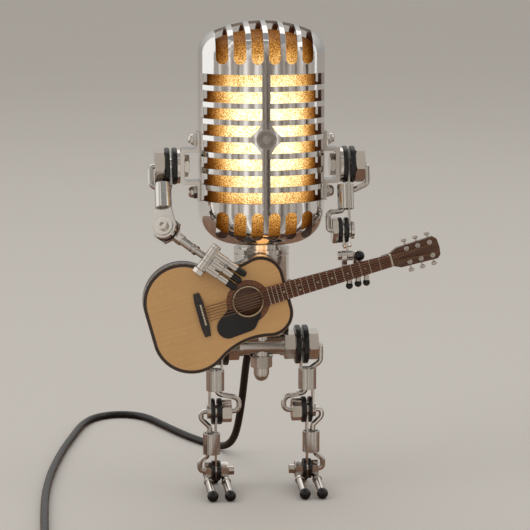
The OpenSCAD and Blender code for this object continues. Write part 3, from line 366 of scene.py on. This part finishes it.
def wood(name, dark, light, grain=1.3, pore=0.0, coat=0.5, gloss=0.25, rosette=False, figure=1.0, inner=False):
    m = Mat(name)
    m.b.inputs["Coat Weight"].default_value = coat
    m.b.inputs["Coat Roughness"].default_value = 0.12
    g = guitar_space(m)
    x, y, z = m.split(g)
    bend = m.noise(1.0, 2, 0.5, vec=m.mapped(scale=(0.02, 0.05, 0.05), vec=g))
    yy = m.f("ADD", y, m.f("MULTIPLY", bend, 3.0))
    line = m.noise(1.0, 3, 0.65, vec=m.n("CombineXYZ", {0: m.f("MULTIPLY", x, 0.03), 1: m.f("MULTIPLY", yy, grain), 2: m.f("MULTIPLY", z, grain)}).outputs[0])
    fine = m.noise(1.0, 2, 0.6, vec=m.n("CombineXYZ", {0: m.f("MULTIPLY", x, 0.35), 1: m.f("MULTIPLY", yy, grain * 4.2), 2: m.f("MULTIPLY", z, grain * 4)}).outputs[0])
    ray = m.noise(1.0, 2, 0.5, vec=m.n("CombineXYZ", {0: m.f("MULTIPLY", x, 0.9), 1: m.f("MULTIPLY", yy, 0.12), 2: z}).outputs[0])
    k = m.f("ADD", m.f("MULTIPLY", line, 0.62), m.f("ADD", m.f("MULTIPLY", fine, 0.25), m.f("MULTIPLY", ray, 0.13 * figure)))
    col = m.ramp(k, [(0.36, dark), (0.50, tuple((a + b) / 2 for a, b in zip(dark, light))), (0.62, light)])
    blotch = m.noise(1.0, 3, 0.5, vec=m.mapped(scale=(0.045, 0.045, 0.045), vec=g))
    col = m.mix(m.range(blotch, 0.35, 0.7, 0, 0.22), col, dark)
    if pore:
        p = m.range(m.noise(1.0, 1, 0.5, vec=m.n("CombineXYZ", {0: m.f("MULTIPLY", x, 0.6), 1: m.f("MULTIPLY", yy, 7.0), 2: m.f("MULTIPLY", z, 7.0)}).outputs[0]), 0.62, 0.68, 0, pore)
        col = m.mix(p, col, tuple(c * 0.3 for c in dark))
    if rosette:
        dx = m.f("SUBTRACT", x, 28.0)
        r = m.f("SQRT", m.f("ADD", m.f("MULTIPLY", dx, dx), m.f("MULTIPLY", y, y)))
        ring = lambda a, b: m.f("MULTIPLY", m.f("GREATER_THAN", r, a), m.f("LESS_THAN", r, b))
        fleck = m.noise(1.0, 4, 0.7, vec=m.mapped(scale=(0.9, 0.9, 0.9), vec=g))
        band = m.ramp(fleck, [(0.34, (0.05, 0.012, 0.005)), (0.5, (0.19, 0.055, 0.018)), (0.66, (0.36, 0.13, 0.045))])
        col = m.mix(ring(0, 12.9), col, band)
        col = m.mix(ring(12.55, 12.9), col, (0.04, 0.015, 0.008))
        col = m.mix(ring(9.2, 9.95), col, (0.03, 0.012, 0.008))
        col = m.mix(ring(8.4, 9.2), col, (0.74, 0.58, 0.36))
        # soft amber lacquer shading toward the hole
        col = m.mix(m.range(r, 13, 20, 0.10, 0.0), col, (0.30, 0.14, 0.05))
    if inner:  # bare mahogany inside the body, seen through the hole
        dx = m.f("SUBTRACT", x, 28.0)
        r = m.f("SQRT", m.f("ADD", m.f("MULTIPLY", dx, dx), m.f("MULTIPLY", y, y)))
        seen = m.f("MULTIPLY", m.f("MULTIPLY", m.f("GREATER_THAN", z, -9.9), m.f("LESS_THAN", z, -1.25)), m.f("LESS_THAN", r, 20.0))
        col = m.mix(seen, col, m.ramp(line, [(0.35, (0.17, 0.075, 0.035)), (0.65, (0.34, 0.16, 0.08))]))
    m.to("Base Color", col)
    m.to("Roughness", m.range(k, 0.3, 0.7, gloss, gloss + 0.14))
    m.to("Normal", m.bump(m.f("ADD", k, m.f("MULTIPLY", fine, 0.4)), 0.12, 0.00012))
    return m.m


M["top"] = wood("spruce_top", (0.68, 0.385, 0.148), (0.82, 0.485, 0.200), grain=1.9, coat=0.3, gloss=0.36, rosette=True)
M["sides"] = wood("dark_sides", (0.011, 0.005, 0.003), (0.045, 0.018, 0.009), grain=0.8, coat=0.7, gloss=0.28, inner=True)
M["neck"] = wood("neck_wood", (0.07, 0.026, 0.012), (0.16, 0.06, 0.026), grain=0.9, pore=0.5, coat=0.5, gloss=0.3)
M["board"] = wood("rosewood", (0.075, 0.018, 0.009), (0.22, 0.062, 0.03), grain=1.1, pore=0.8, coat=0.25, gloss=0.36)
M["ebony"] = wood("dark_bridge", (0.012, 0.008, 0.006), (0.038, 0.024, 0.017), grain=1.2, pore=0.4, coat=0.3, gloss=0.34)
M["binding"] = wood("binding", (0.010, 0.005, 0.003), (0.030, 0.013, 0.007), grain=0.6, coat=0.35, gloss=0.3)


def plastic(name, tint, gloss=0.25, vary=0.1, scale=300, coat=0.4, ss=0.0):
    m = Mat(name)
    m.b.inputs["Coat Weight"].default_value = coat
    m.b.inputs["Coat Roughness"].default_value = 0.08
    if ss:
        m.b.inputs["Subsurface Weight"].default_value = ss
        m.b.inputs["Subsurface Scale"].default_value = 0.001
    a, b = m.noise(scale, 4, 0.6), m.noise(scale * 7, 2, 0.6)
    m.to("Base Color", m.mix(m.range(a, 0.35, 0.68, 0, 1), tint, tuple(c * (1 - vary * 2) for c in tint)))
    m.to("Roughness", m.range(b, 0.3, 0.7, gloss, gloss + 0.12))
    m.to("Normal", m.bump(m.f("ADD", m.f("MULTIPLY", a, 0.6), m.f("MULTIPLY", b, 0.3)), 0.15, 0.0001))
    return m.m


M["guard"] = plastic("pickguard", (0.007, 0.007, 0.0075), 0.2, 0.2, coat=0.15)
M["bone"] = plastic("bone", (0.86, 0.79, 0.64), 0.3, 0.12, 900)
M["ceramic"] = plastic("ceramic", (0.72, 0.69, 0.60), 0.2, 0.06)
M["fret"] = metal("fret_wire", (0.98, 0.90, 0.76), 0.3, 0.45)
M["string"] = metal("string_wire", (0.34, 0.20, 0.13), 0.18, 0.32)


def circuit():
    m = Mat("circuit_board")
    x, y, z = m.split()
    grid = m.voronoi(420, feature="F1", rand=0.35)
    trace = m.range(m.noise(1.0, 1, 0.5, vec=m.mapped(scale=(1400, 200, 260))), 0.5, 0.56, 0, 1)
    col = m.mix(trace, (0.008, 0.075, 0.03), (0.02, 0.16, 0.06))
    col = m.mix(m.range(grid, 0.10, 0.16, 1, 0), col, (0.62, 0.60, 0.55))
    m.to("Base Color", col)
    m.to("Roughness", m.range(grid, 0.1, 0.4, 0.25, 0.45))
    m.to("Normal", m.bump(grid, 0.4, 0.0003))
    return m.m


M["circuit"] = circuit()


def bulb():
    m = Mat("bulb_glass")
    p = mm((0, 0, 197))
    x, y, z = m.split(m.mapped(loc=(-p.x, -p.y, -p.z)))
    cloud = m.noise(160, 3, 0.5)
    m.to("Base Color", m.mix(cloud, (0.92, 0.86, 0.74), (0.86, 0.76, 0.58)))
    m.to("Roughness", m.range(cloud, 0.3, 0.7, 0.25, 0.4))
    m.to("Emission Color", m.ramp(m.range(z, -0.03, 0.02, 0, 1), [(0, (1.0, 0.55, 0.20)), (0.6, (1.0, 0.72, 0.38)), (1, (1.0, 0.78, 0.46))]))
    m.to("Emission Strength", m.range(z, -0.03, 0.0, 1.0, 9.0))
    return m.m


M["bulb"] = bulb()

PAINT = {
    "head_front_shell": "head", "head_rear_shell": "head", "head_badge": "brushed", "mesh_liner": "mesh", "lamp_holder": "ceramic",
    "bulb": "bulb", "neck_collar": "tube", "torso_tube": "tube", "dimmer_module": "circuit", "inner_wire": "cord",
    "hip_barrel": "tube", "crotch_nut": "nut", "crotch_cap": "nut", "shoulder_brackets": "rod", "bracket_cap_nuts": "nut",
    "shoulder_bolts": "nut", "shoulder_rubber_rings": "rubber", "hip_bolts": "nut", "hip_rubber_rings": "rubber",
    "guitar_bracket": "brushed", "guitar_body": "sides", "guitar_top": "top", "guitar_pickguard": "guard",
    "guitar_bridge": "ebony", "guitar_bone_parts": "bone", "guitar_neck": "neck", "guitar_fretboard": "board",
    "guitar_frets": "fret", "guitar_strings": "string", "guitar_tuners": "nut",
    "left_upper_arm": "tube", "left_forearm": "rod", "left_hand": "nut", "left_fingertips": "rubber", "left_arm_bolts": "nut",
    "left_elbow_ring": "rubber", "right_upper_arm": "tube", "right_forearm": "rod", "right_hand": "nut",
    "right_fingertips": "rubber", "right_arm_bolts": "nut", "right_elbow_rings": "rubber",
    "cord_gland": "cord", "power_cord": "cord", "cord_coil": "cord", "cord_tie": "tie", "cord_plug": "cord", "plug_shell": "nut",
}
for side in ("left", "right"):
    PAINT.update({f"{side}_thigh": "tube", f"{side}_shin": "tube", f"{side}_foot": "rod", f"{side}_toe_tips": "rubber",
                  f"{side}_leg_bolts": "nut", f"{side}_leg_rubber_rings": "rubber"})
for name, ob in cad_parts.items():
    ob.data.materials.clear()
    ob.data.materials.append(M[PAINT[name]])

# ---------------------------------------------------------------- the guitar's inlay work

GA = math.radians(15.3)


def gp(x, y, z):
    """A point in guitar millimetres: along the neck, across it, out of the face."""
    return mm((-37.6 + x * math.cos(GA) - y * math.sin(GA), -28.5 - z, 114.7 + x * math.sin(GA) + y * math.cos(GA)))


def arc(c, r, a0, a1, n):
    return [(c[0] + r * math.cos(math.radians(a0 + (a1 - a0) * i / n)), c[1] + r * math.sin(math.radians(a0 + (a1 - a0) * i / n))) for i in range(n + 1)]


def body_outline(d):
    """The guitar body's outline, inset by d: two bouts and a hollow waist."""
    low, lr, up, ur, wr = np.array((-9.0, 10.0)), 23.2, np.array((38.5, 10.5)), 13.8, 38.0
    wd = np.linalg.norm(up - low)
    wa, wb = lr + wr, ur + wr
    wx = (wa * wa - wb * wb + wd * wd) / (2 * wd)
    wy = math.sqrt(wa * wa - wx * wx)
    u = (up - low) / wd
    wc = low + u * wx + np.array((-u[1], u[0])) * wy
    ang_of = lambda v: math.degrees(math.atan2(v[1], v[0]))
    half = arc(low, lr - d, 180, ang_of(wc - low), 44) + arc(wc, wr + d, ang_of(low - wc), ang_of(up - wc), 24)[1:] + arc(up, ur - d, ang_of(wc - up), 0, 36)[1:]
    return half + [(x, -y) for x, y in reversed(half)]


def edging(name, section, material):
    """A strip round the whole body: section holds (inset, height) points."""
    loops = [[gp(x, y, z) for x, y in body_outline(d)] for d, z in section]
    n, m = len(loops[0]), len(loops)
    v = [q for l in loops for q in l]
    f = [(i * n + k, i * n + (k + 1) % n, ((i + 1) % m) * n + (k + 1) % n, ((i + 1) % m) * n + k) for i in range(m) for k in range(n)]
    ob = new_mesh(name, v, f, ROOT, auto=50)
    ob.data.materials.append(M[material])
    return ob


edging("guitar_binding_front", [(-0.02, -2.3), (-0.02, -0.15), (0.06, -0.02), (0.20, 0.02), (1.60, 0.02), (1.72, 0.015), (1.72, -0.4), (0.3, -2.3)], "binding")
edging("guitar_purfling", [(1.71, -0.4), (1.71, 0.018), (2.05, 0.018), (2.08, -0.4)], "neck")
edging("guitar_binding_back", [(-0.07, -8.9), (-0.07, -10.7), (-0.02, -10.9), (0.10, -11.03), (0.28, -11.1), (1.5, -11.1), (1.6, -11.0), (1.6, -10.6), (0.3, -8.9)], "binding")

# mother-of-pearl dots between the frets
dots = []
fret = lambda k: 115 - 115 * (1 - 2 ** (-k / 12))
for k, ys in ((3, (0,)), (5, (0,)), (7, (0,)), (9, (0,)), (12, (-1.6, 1.6)), (15, (0,))):
    x = (fret(k) + fret(k - 1)) / 2
    for y in ys:
        place = Matrix.Translation(gp(x, y, 1.50)) @ Matrix(((math.cos(GA), -math.sin(GA), 0), (0, 0, -1), (math.sin(GA), math.cos(GA), 0))).to_4x4()
        dots.append(lathe([(0, 0.0), (0.62, 0.0), (0.62, 0.05), (0.5, 0.075), (0, 0.08)], place, "dot", body=None, n=20))
dots = join(dots, "guitar_fret_dots")
dots.data.materials.append(M["bone"])

# ---------------------------------------------------------------- the cord

D = 4.8
CZ = D / 2 + 0.02
gl = lambda l: (-3.5, 14.0 + math.sin(math.radians(132)) * l, 106 + math.cos(math.radians(132)) * l)
route = [gl(23), gl(31)] + [
    (-4.6, 44, 73.5), (-5.4, 53, 59), (-6.2, 62, 43), (-7.4, 70.5, 28), (-9.4, 79, 15), (-12.8, 88, 6.8), (-17.8, 97.5, 3.2),
    (-24, 107, CZ), (-31, 118, CZ), (-38, 131, CZ), (-45, 146, CZ), (-52, 162, CZ), (-58, 176, CZ), (-64.5, 187, CZ), (-75, 194.5, CZ),
    (-87.5, 194.5, CZ), (-98, 187, CZ), (-104.5, 175, CZ), (-110, 155, CZ), (-114.5, 132, CZ), (-119, 108, CZ), (-123, 82, CZ), (-126.6, 54, CZ),
    (-129.4, 24, CZ), (-131, -8, CZ), (-131.4, -40, CZ), (-131.2, -72, CZ), (-130.8, -104, CZ), (-130.5, -126, CZ), (-130.4, -141, CZ)]
CX, CY = -98, -153
R0, R1 = 32.4, 21.3
TIE = 128
laid = len(route)
step = 20
ang = 180
up_from, up_to = 2.3, 2.6
total = 5 + 105 / 360


def coil_r(t):
    if t < up_from:
        return R0 - D * t
    if t < up_to:
        return R0 - D * up_from
    return R0 - D * up_from + D * (t - up_to)


t = 0.0
while t <= total + 1e-6:
    a = ang + 360 * t
    r = min(coil_r(t), 33.8)
    lift = 0 if t < up_from else min(1, (t - up_from) / (up_to - up_from))
    lift = lift * lift * (3 - 2 * lift)
    off = (a - TIE + 180) % 360 - 180
    z = CZ + (D + 0.02) * lift + 0.55 * math.exp(-(off / 38.0) ** 2)
    route.append((CX + r * math.cos(math.radians(a)), CY + r * math.sin(math.radians(a)), z))
    t += step / 360
route += [(-79.9, -183.1, 7.0), (-70.2, -181, 5.9), (-60.5, -179, 4.9), (-51, -177.1, 4.25), (-44, -175.7, 4.12)]


def spline_tangents(p):
    """The derivatives of the smooth chord-length cubic through the points."""
    p = np.array(p, float)
    h = np.linalg.norm(np.diff(p, axis=0), axis=1)
    n = len(p)
    A, B = np.zeros((n, n)), np.zeros((n, 3))
    A[0, 0], A[0, 1], B[0] = 2, 1, 3 * (p[1] - p[0]) / h[0]
    A[-1, -1], A[-1, -2], B[-1] = 2, 1, 3 * (p[-1] - p[-2]) / h[-1]
    for i in range(1, n - 1):
        A[i, i - 1], A[i, i], A[i, i + 1] = h[i], 2 * (h[i - 1] + h[i]), h[i - 1]
        B[i] = 3 * (h[i] * (p[i] - p[i - 1]) / h[i - 1] + h[i - 1] * (p[i + 1] - p[i]) / h[i])
    return np.linalg.solve(A, B), h


pts = [mm(p) for p in route]
der, hop = spline_tangents([list(p) for p in pts])
cu = bpy.data.curves.new("cord", "CURVE")
cu.dimensions = "3D"
sp = cu.splines.new("BEZIER")
sp.bezier_points.add(len(pts) - 1)
for i, b in enumerate(sp.bezier_points):
    b.handle_left_type = b.handle_right_type = "FREE"
    b.co = pts[i]
    d = Vector(der[i])
    b.handle_right = pts[i] + d * (hop[min(i, len(hop) - 1)] / 3)
    b.handle_left = pts[i] - d * (hop[max(i - 1, 0)] / 3)
cu.bevel_depth = D / 2000
cu.bevel_resolution = 6
cu.resolution_u = 6
cu.use_fill_caps = True
cord = bpy.data.objects.new("cord", cu)
scene.collection.objects.link(cord)
cu.materials.append(M["cord"])
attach(cord, ROOT)
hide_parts("power_cord", "cord_coil")

# the moulded plug: a ribbed relief and a rounded body with finger grips
pa = math.atan2(-176.3 + 177.1, -47 + 51)
plug_at = Matrix.Translation(mm((-47, -176.3, 0))) @ Matrix.Rotation(pa, 4, "Z")


def plug():
    sec, xs = [], []
    n = 32

    def ring(x, w, h, e):
        # a rounded rectangle across the plug: half sizes w and h, corner power e
        out = []
        for k in range(n):
            a = 2 * math.pi * (k + 0.5) / n
            c, s = math.cos(a), math.sin(a)
            out.append((x, math.copysign(abs(c) ** (2 / e), c) * w, 4.12 + math.copysign(abs(s) ** (2 / e), s) * h))
        return out

    rings = [ring(-1.0, 2.5, 2.5, 2), ring(-0.6, 2.95, 2.95, 2)]
    for i in range(5):  # ribs of the relief
        x = 0.2 + i * 2.3
        rings += [ring(x, 3.0, 3.0, 2), ring(x + 1.3, 3.0, 3.0, 2), ring(x + 1.45, 2.6, 2.6, 2), ring(x + 2.1, 2.6, 2.6, 2)]
    rings += [ring(11.9, 3.2, 3.0, 2.2), ring(12.1, 6.2, 3.3, 3.4), ring(12.8, 7.5, 3.9, 4.2), ring(14, 7.95, 4.08, 5)]
    for i in range(5):  # finger grips in the sides
        x = 17 + i * 2.6
        rings += [ring(x, 7.95, 4.08, 5), ring(x + 0.35, 7.45, 4.08, 5), ring(x + 1.1, 7.45, 4.08, 5), ring(x + 1.45, 7.95, 4.08, 5)]
    rings += [ring(36, 7.95, 4.08, 5), ring(39.0, 7.8, 4.02, 5), ring(39.7, 7.4, 3.75, 4.6), ring(40.0, 6.9, 3.3, 4.2)]
    v = [plug_at @ Vector((a / 1000, b / 1000, c / 1000)) for r in rings for a, b, c in r]
    f = []
    for i in range(len(rings) - 1):
        f += [(i * n + k, i * n + (k + 1) % n, (i + 1) * n + (k + 1) % n, (i + 1) * n + k) for k in range(n)]
    f += [tuple(range(n)), tuple((len(rings) - 1) * n + k for k in range(n))]
    return new_mesh("plug_body", v, f, ROOT, auto=28)


plug_body = plug()
plug_body.data.materials.append(M["cord"])
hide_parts("cord_plug")

# ---------------------------------------------------------------- stage and light


def sheet(name, verts, material, reflected_only=False):
    ob = bpy.data.objects.new(name, bpy.data.meshes.new(name))
    scene.collection.objects.link(ob)
    ob.data.from_pydata(verts, [], [tuple(range(len(verts)))])
    ob.data.materials.append(material)
    if reflected_only:  # a studio card: the plated parts mirror it, and the camera doesn't see it
        ob.visible_camera = ob.visible_diffuse = ob.visible_shadow = ob.visible_transmission = False
    return ob


fm = Mat("floor", Roughness=1.0)
fm.b.inputs["Specular IOR Level"].default_value = 0.0
fm.to("Base Color", fm.mix(fm.noise(2.5, 2), (0.60, 0.58, 0.55), (0.62, 0.60, 0.57)))
sheet("floor", [(30 * math.cos(2 * math.pi * k / 64), 30 * math.sin(2 * math.pi * k / 64), -0.00005) for k in range(64)], fm.m)

tm = Mat("card_walnut", Roughness=0.5)
grain = tm.noise(1.0, 3, 0.6, vec=tm.mapped(scale=(5, 80, 1)))
tm.to("Base Color", tm.ramp(grain, [(0.32, (0.085, 0.042, 0.026)), (0.5, (0.20, 0.10, 0.058)), (0.68, (0.40, 0.20, 0.10))]))
sheet("card_low", [(-0.85, -0.40, 0.0004), (1.1, -0.40, 0.0004), (0.9, 0.42, 0.0004), (-0.55, 0.42, 0.0004)], tm.m, True)


def room(name, foot, radius, a0, a1, z0, z1):
    """A curved, leaning, reflected-only wall in front of the lamp: a dim room with lighter and darker uprights."""
    m = Mat(name, Roughness=1.0)
    m.b.inputs["Base Color"].default_value = (0, 0, 0, 1)
    m.b.inputs["Specular IOR Level"].default_value = 0.0
    x, y, z = m.split()
    az = m.f("ARCTAN2", x, m.f("MULTIPLY", y, -1.0))
    up = m.noise(1.0, 2, 0.55, vec=m.n("CombineXYZ", {0: m.f("MULTIPLY", az, 5.2), 1: m.f("MULTIPLY", z, 1.1)}).outputs[0])
    m.to("Emission Color", m.ramp(up, [(0.36, (0.07, 0.055, 0.045)), (0.44, (0.33, 0.285, 0.245)), (0.54, (0.50, 0.455, 0.41)), (0.64, (1.0, 0.96, 0.90))]))
    m.b.inputs["Emission Strength"].default_value = 1.0
    n = 40
    v = []
    for k in range(n + 1):
        a = math.radians(a0 + (a1 - a0) * k / n)
        v += [(foot * math.sin(a), -foot * math.cos(a), z0), (radius * math.sin(a), -radius * math.cos(a), z1)]
    ob = bpy.data.objects.new(name, bpy.data.meshes.new(name))
    scene.collection.objects.link(ob)
    ob.data.from_pydata(v, [], [(2 * k, 2 * k + 2, 2 * k + 3, 2 * k + 1) for k in range(n)])
    ob.data.materials.append(m.m)
    ob.visible_camera = ob.visible_diffuse = ob.visible_shadow = ob.visible_transmission = False


room("room_front", 0.105, 0.9, -72, 82, 0.002, 0.66)


def window(name, at, aim, size, level, colour=(1, 0.985, 0.96)):
    """A bright pane that only the glossy parts see."""
    m = Mat(name, Roughness=1.0)
    m.b.inputs["Base Color"].default_value = (0, 0, 0, 1)
    m.b.inputs["Specular IOR Level"].default_value = 0.0
    m.b.inputs["Emission Color"].default_value = (*colour, 1)
    m.b.inputs["Emission Strength"].default_value = level
    q = (Vector(aim) - Vector(at)).to_track_quat("-Z", "Y")
    x, y = q @ Vector((size[0] / 2, 0, 0)), q @ Vector((0, size[1] / 2, 0))
    c = Vector(at)
    sheet(name, [c - x - y, c + x - y, c + x + y, c - x + y], m.m, True)


window("pane_left", (-1.5, 0.42, 0.62), (0, 0, 0.2), (1.25, 1.7), 1.05)
window("pane_left_thin", (-1.1, -0.72, 0.7), (0, 0, 0.2), (0.10, 1.5), 1.15)
window("pane_right", (1.5, 0.25, 0.75), (0, 0, 0.2), (0.22, 1.5), 0.95)
window("ceiling", (0.0, -0.65, 1.5), (0, -0.65, 0), (1.9, 1.7), 0.30)
window("pane_high", (-0.1, -0.75, 1.45), (0, 0, 0.2), (0.9, 0.10), 1.2)


def softbox(name, at, aim, size, power, colour=(1, 1, 1)):
    li = bpy.data.lights.new(name, "AREA")
    li.shape, li.size, li.size_y = "RECTANGLE", size[0], size[1]
    li.energy, li.color = power, colour
    ob = bpy.data.objects.new(name, li)
    scene.collection.objects.link(ob)
    ob.location = at
    ob.rotation_mode = "QUATERNION"
    ob.rotation_quaternion = (Vector(aim) - Vector(at)).to_track_quat("-Z", "Y")
    return ob


softbox("key", (-1.5, -0.7, 1.25), (0, 0, 0.1), (1.2, 1.2), 6, (1.0, 0.985, 0.96)).visible_glossy = False
softbox("fill", (1.6, -0.5, 1.0), (0, 0, 0.1), (0.9, 0.9), 2.2, (1.0, 0.97, 0.93))
softbox("top", (0.0, 0.5, 2.2), (0, 0, 0.1), (2.6, 2.6), 12)


def glow(name, at, power, radius):
    """Warm light that leaves the head through the slots of its base."""
    li = bpy.data.lights.new(name, "POINT")
    li.energy, li.color, li.shadow_soft_size = power, (1.0, 0.50, 0.15), radius
    ob = bpy.data.objects.new(name, li)
    scene.collection.objects.link(ob)
    ob.location = mm(at)


glow("glow_front", (-2, -22, 150), 0.0052, 0.011)
glow("glow_back", (0, 22, 151), 0.0035, 0.013)

w = bpy.data.worlds.new("studio")
w.use_nodes = True
scene.world = w
nt = w.node_tree
nt.nodes.clear()
tc = nt.nodes.new("ShaderNodeTexCoord")
sx = nt.nodes.new("ShaderNodeSeparateXYZ")
mp = nt.nodes.new("ShaderNodeMapRange")
rp = nt.nodes.new("ShaderNodeValToRGB")
bg = nt.nodes.new("ShaderNodeBackground")
wo = nt.nodes.new("ShaderNodeOutputWorld")
nt.links.new(tc.outputs["Generated"], sx.inputs[0])
nt.links.new(sx.outputs[1], mp.inputs[0])
mp.inputs[1].default_value, mp.inputs[2].default_value = -1, 1
nt.links.new(mp.outputs[0], rp.inputs[0])
# a grey wall at the horizon under a bright ceiling, a little warmer and dimmer to the front
cr = rp.color_ramp
cr.elements.new(0.5)
for k, (pos, c) in enumerate([(0.0, (0.36, 0.32, 0.28)), (0.5, (0.48, 0.465, 0.445)), (1.0, (0.50, 0.485, 0.465))]):
    cr.elements[k].position, cr.elements[k].color = pos, (*c, 1)
m2 = nt.nodes.new("ShaderNodeMapRange")
r2 = nt.nodes.new("ShaderNodeValToRGB")
mx = nt.nodes.new("ShaderNodeMix")
mx.data_type, mx.blend_type = "RGBA", "MULTIPLY"
mx.inputs[0].default_value = 1.0
nt.links.new(sx.outputs[2], m2.inputs[0])
m2.inputs[1].default_value, m2.inputs[2].default_value = 0, 1
nt.links.new(m2.outputs[0], r2.inputs[0])
for k, (pos, c) in enumerate([(0.10, 0.5), (0.75, 1.0)]):
    r2.color_ramp.elements[k].position, r2.color_ramp.elements[k].color = pos, (c, c, c, 1)
nt.links.new(rp.outputs[0], mx.inputs[6])
nt.links.new(r2.outputs[0], mx.inputs[7])
nt.links.new(mx.outputs[2], bg.inputs[0])
bg.inputs[1].default_value = 1.5
nt.links.new(bg.outputs[0], wo.inputs[0])

scene.view_settings.view_transform = "Standard"
scene.view_settings.look = "None"
scene.view_settings.exposure = 0.0
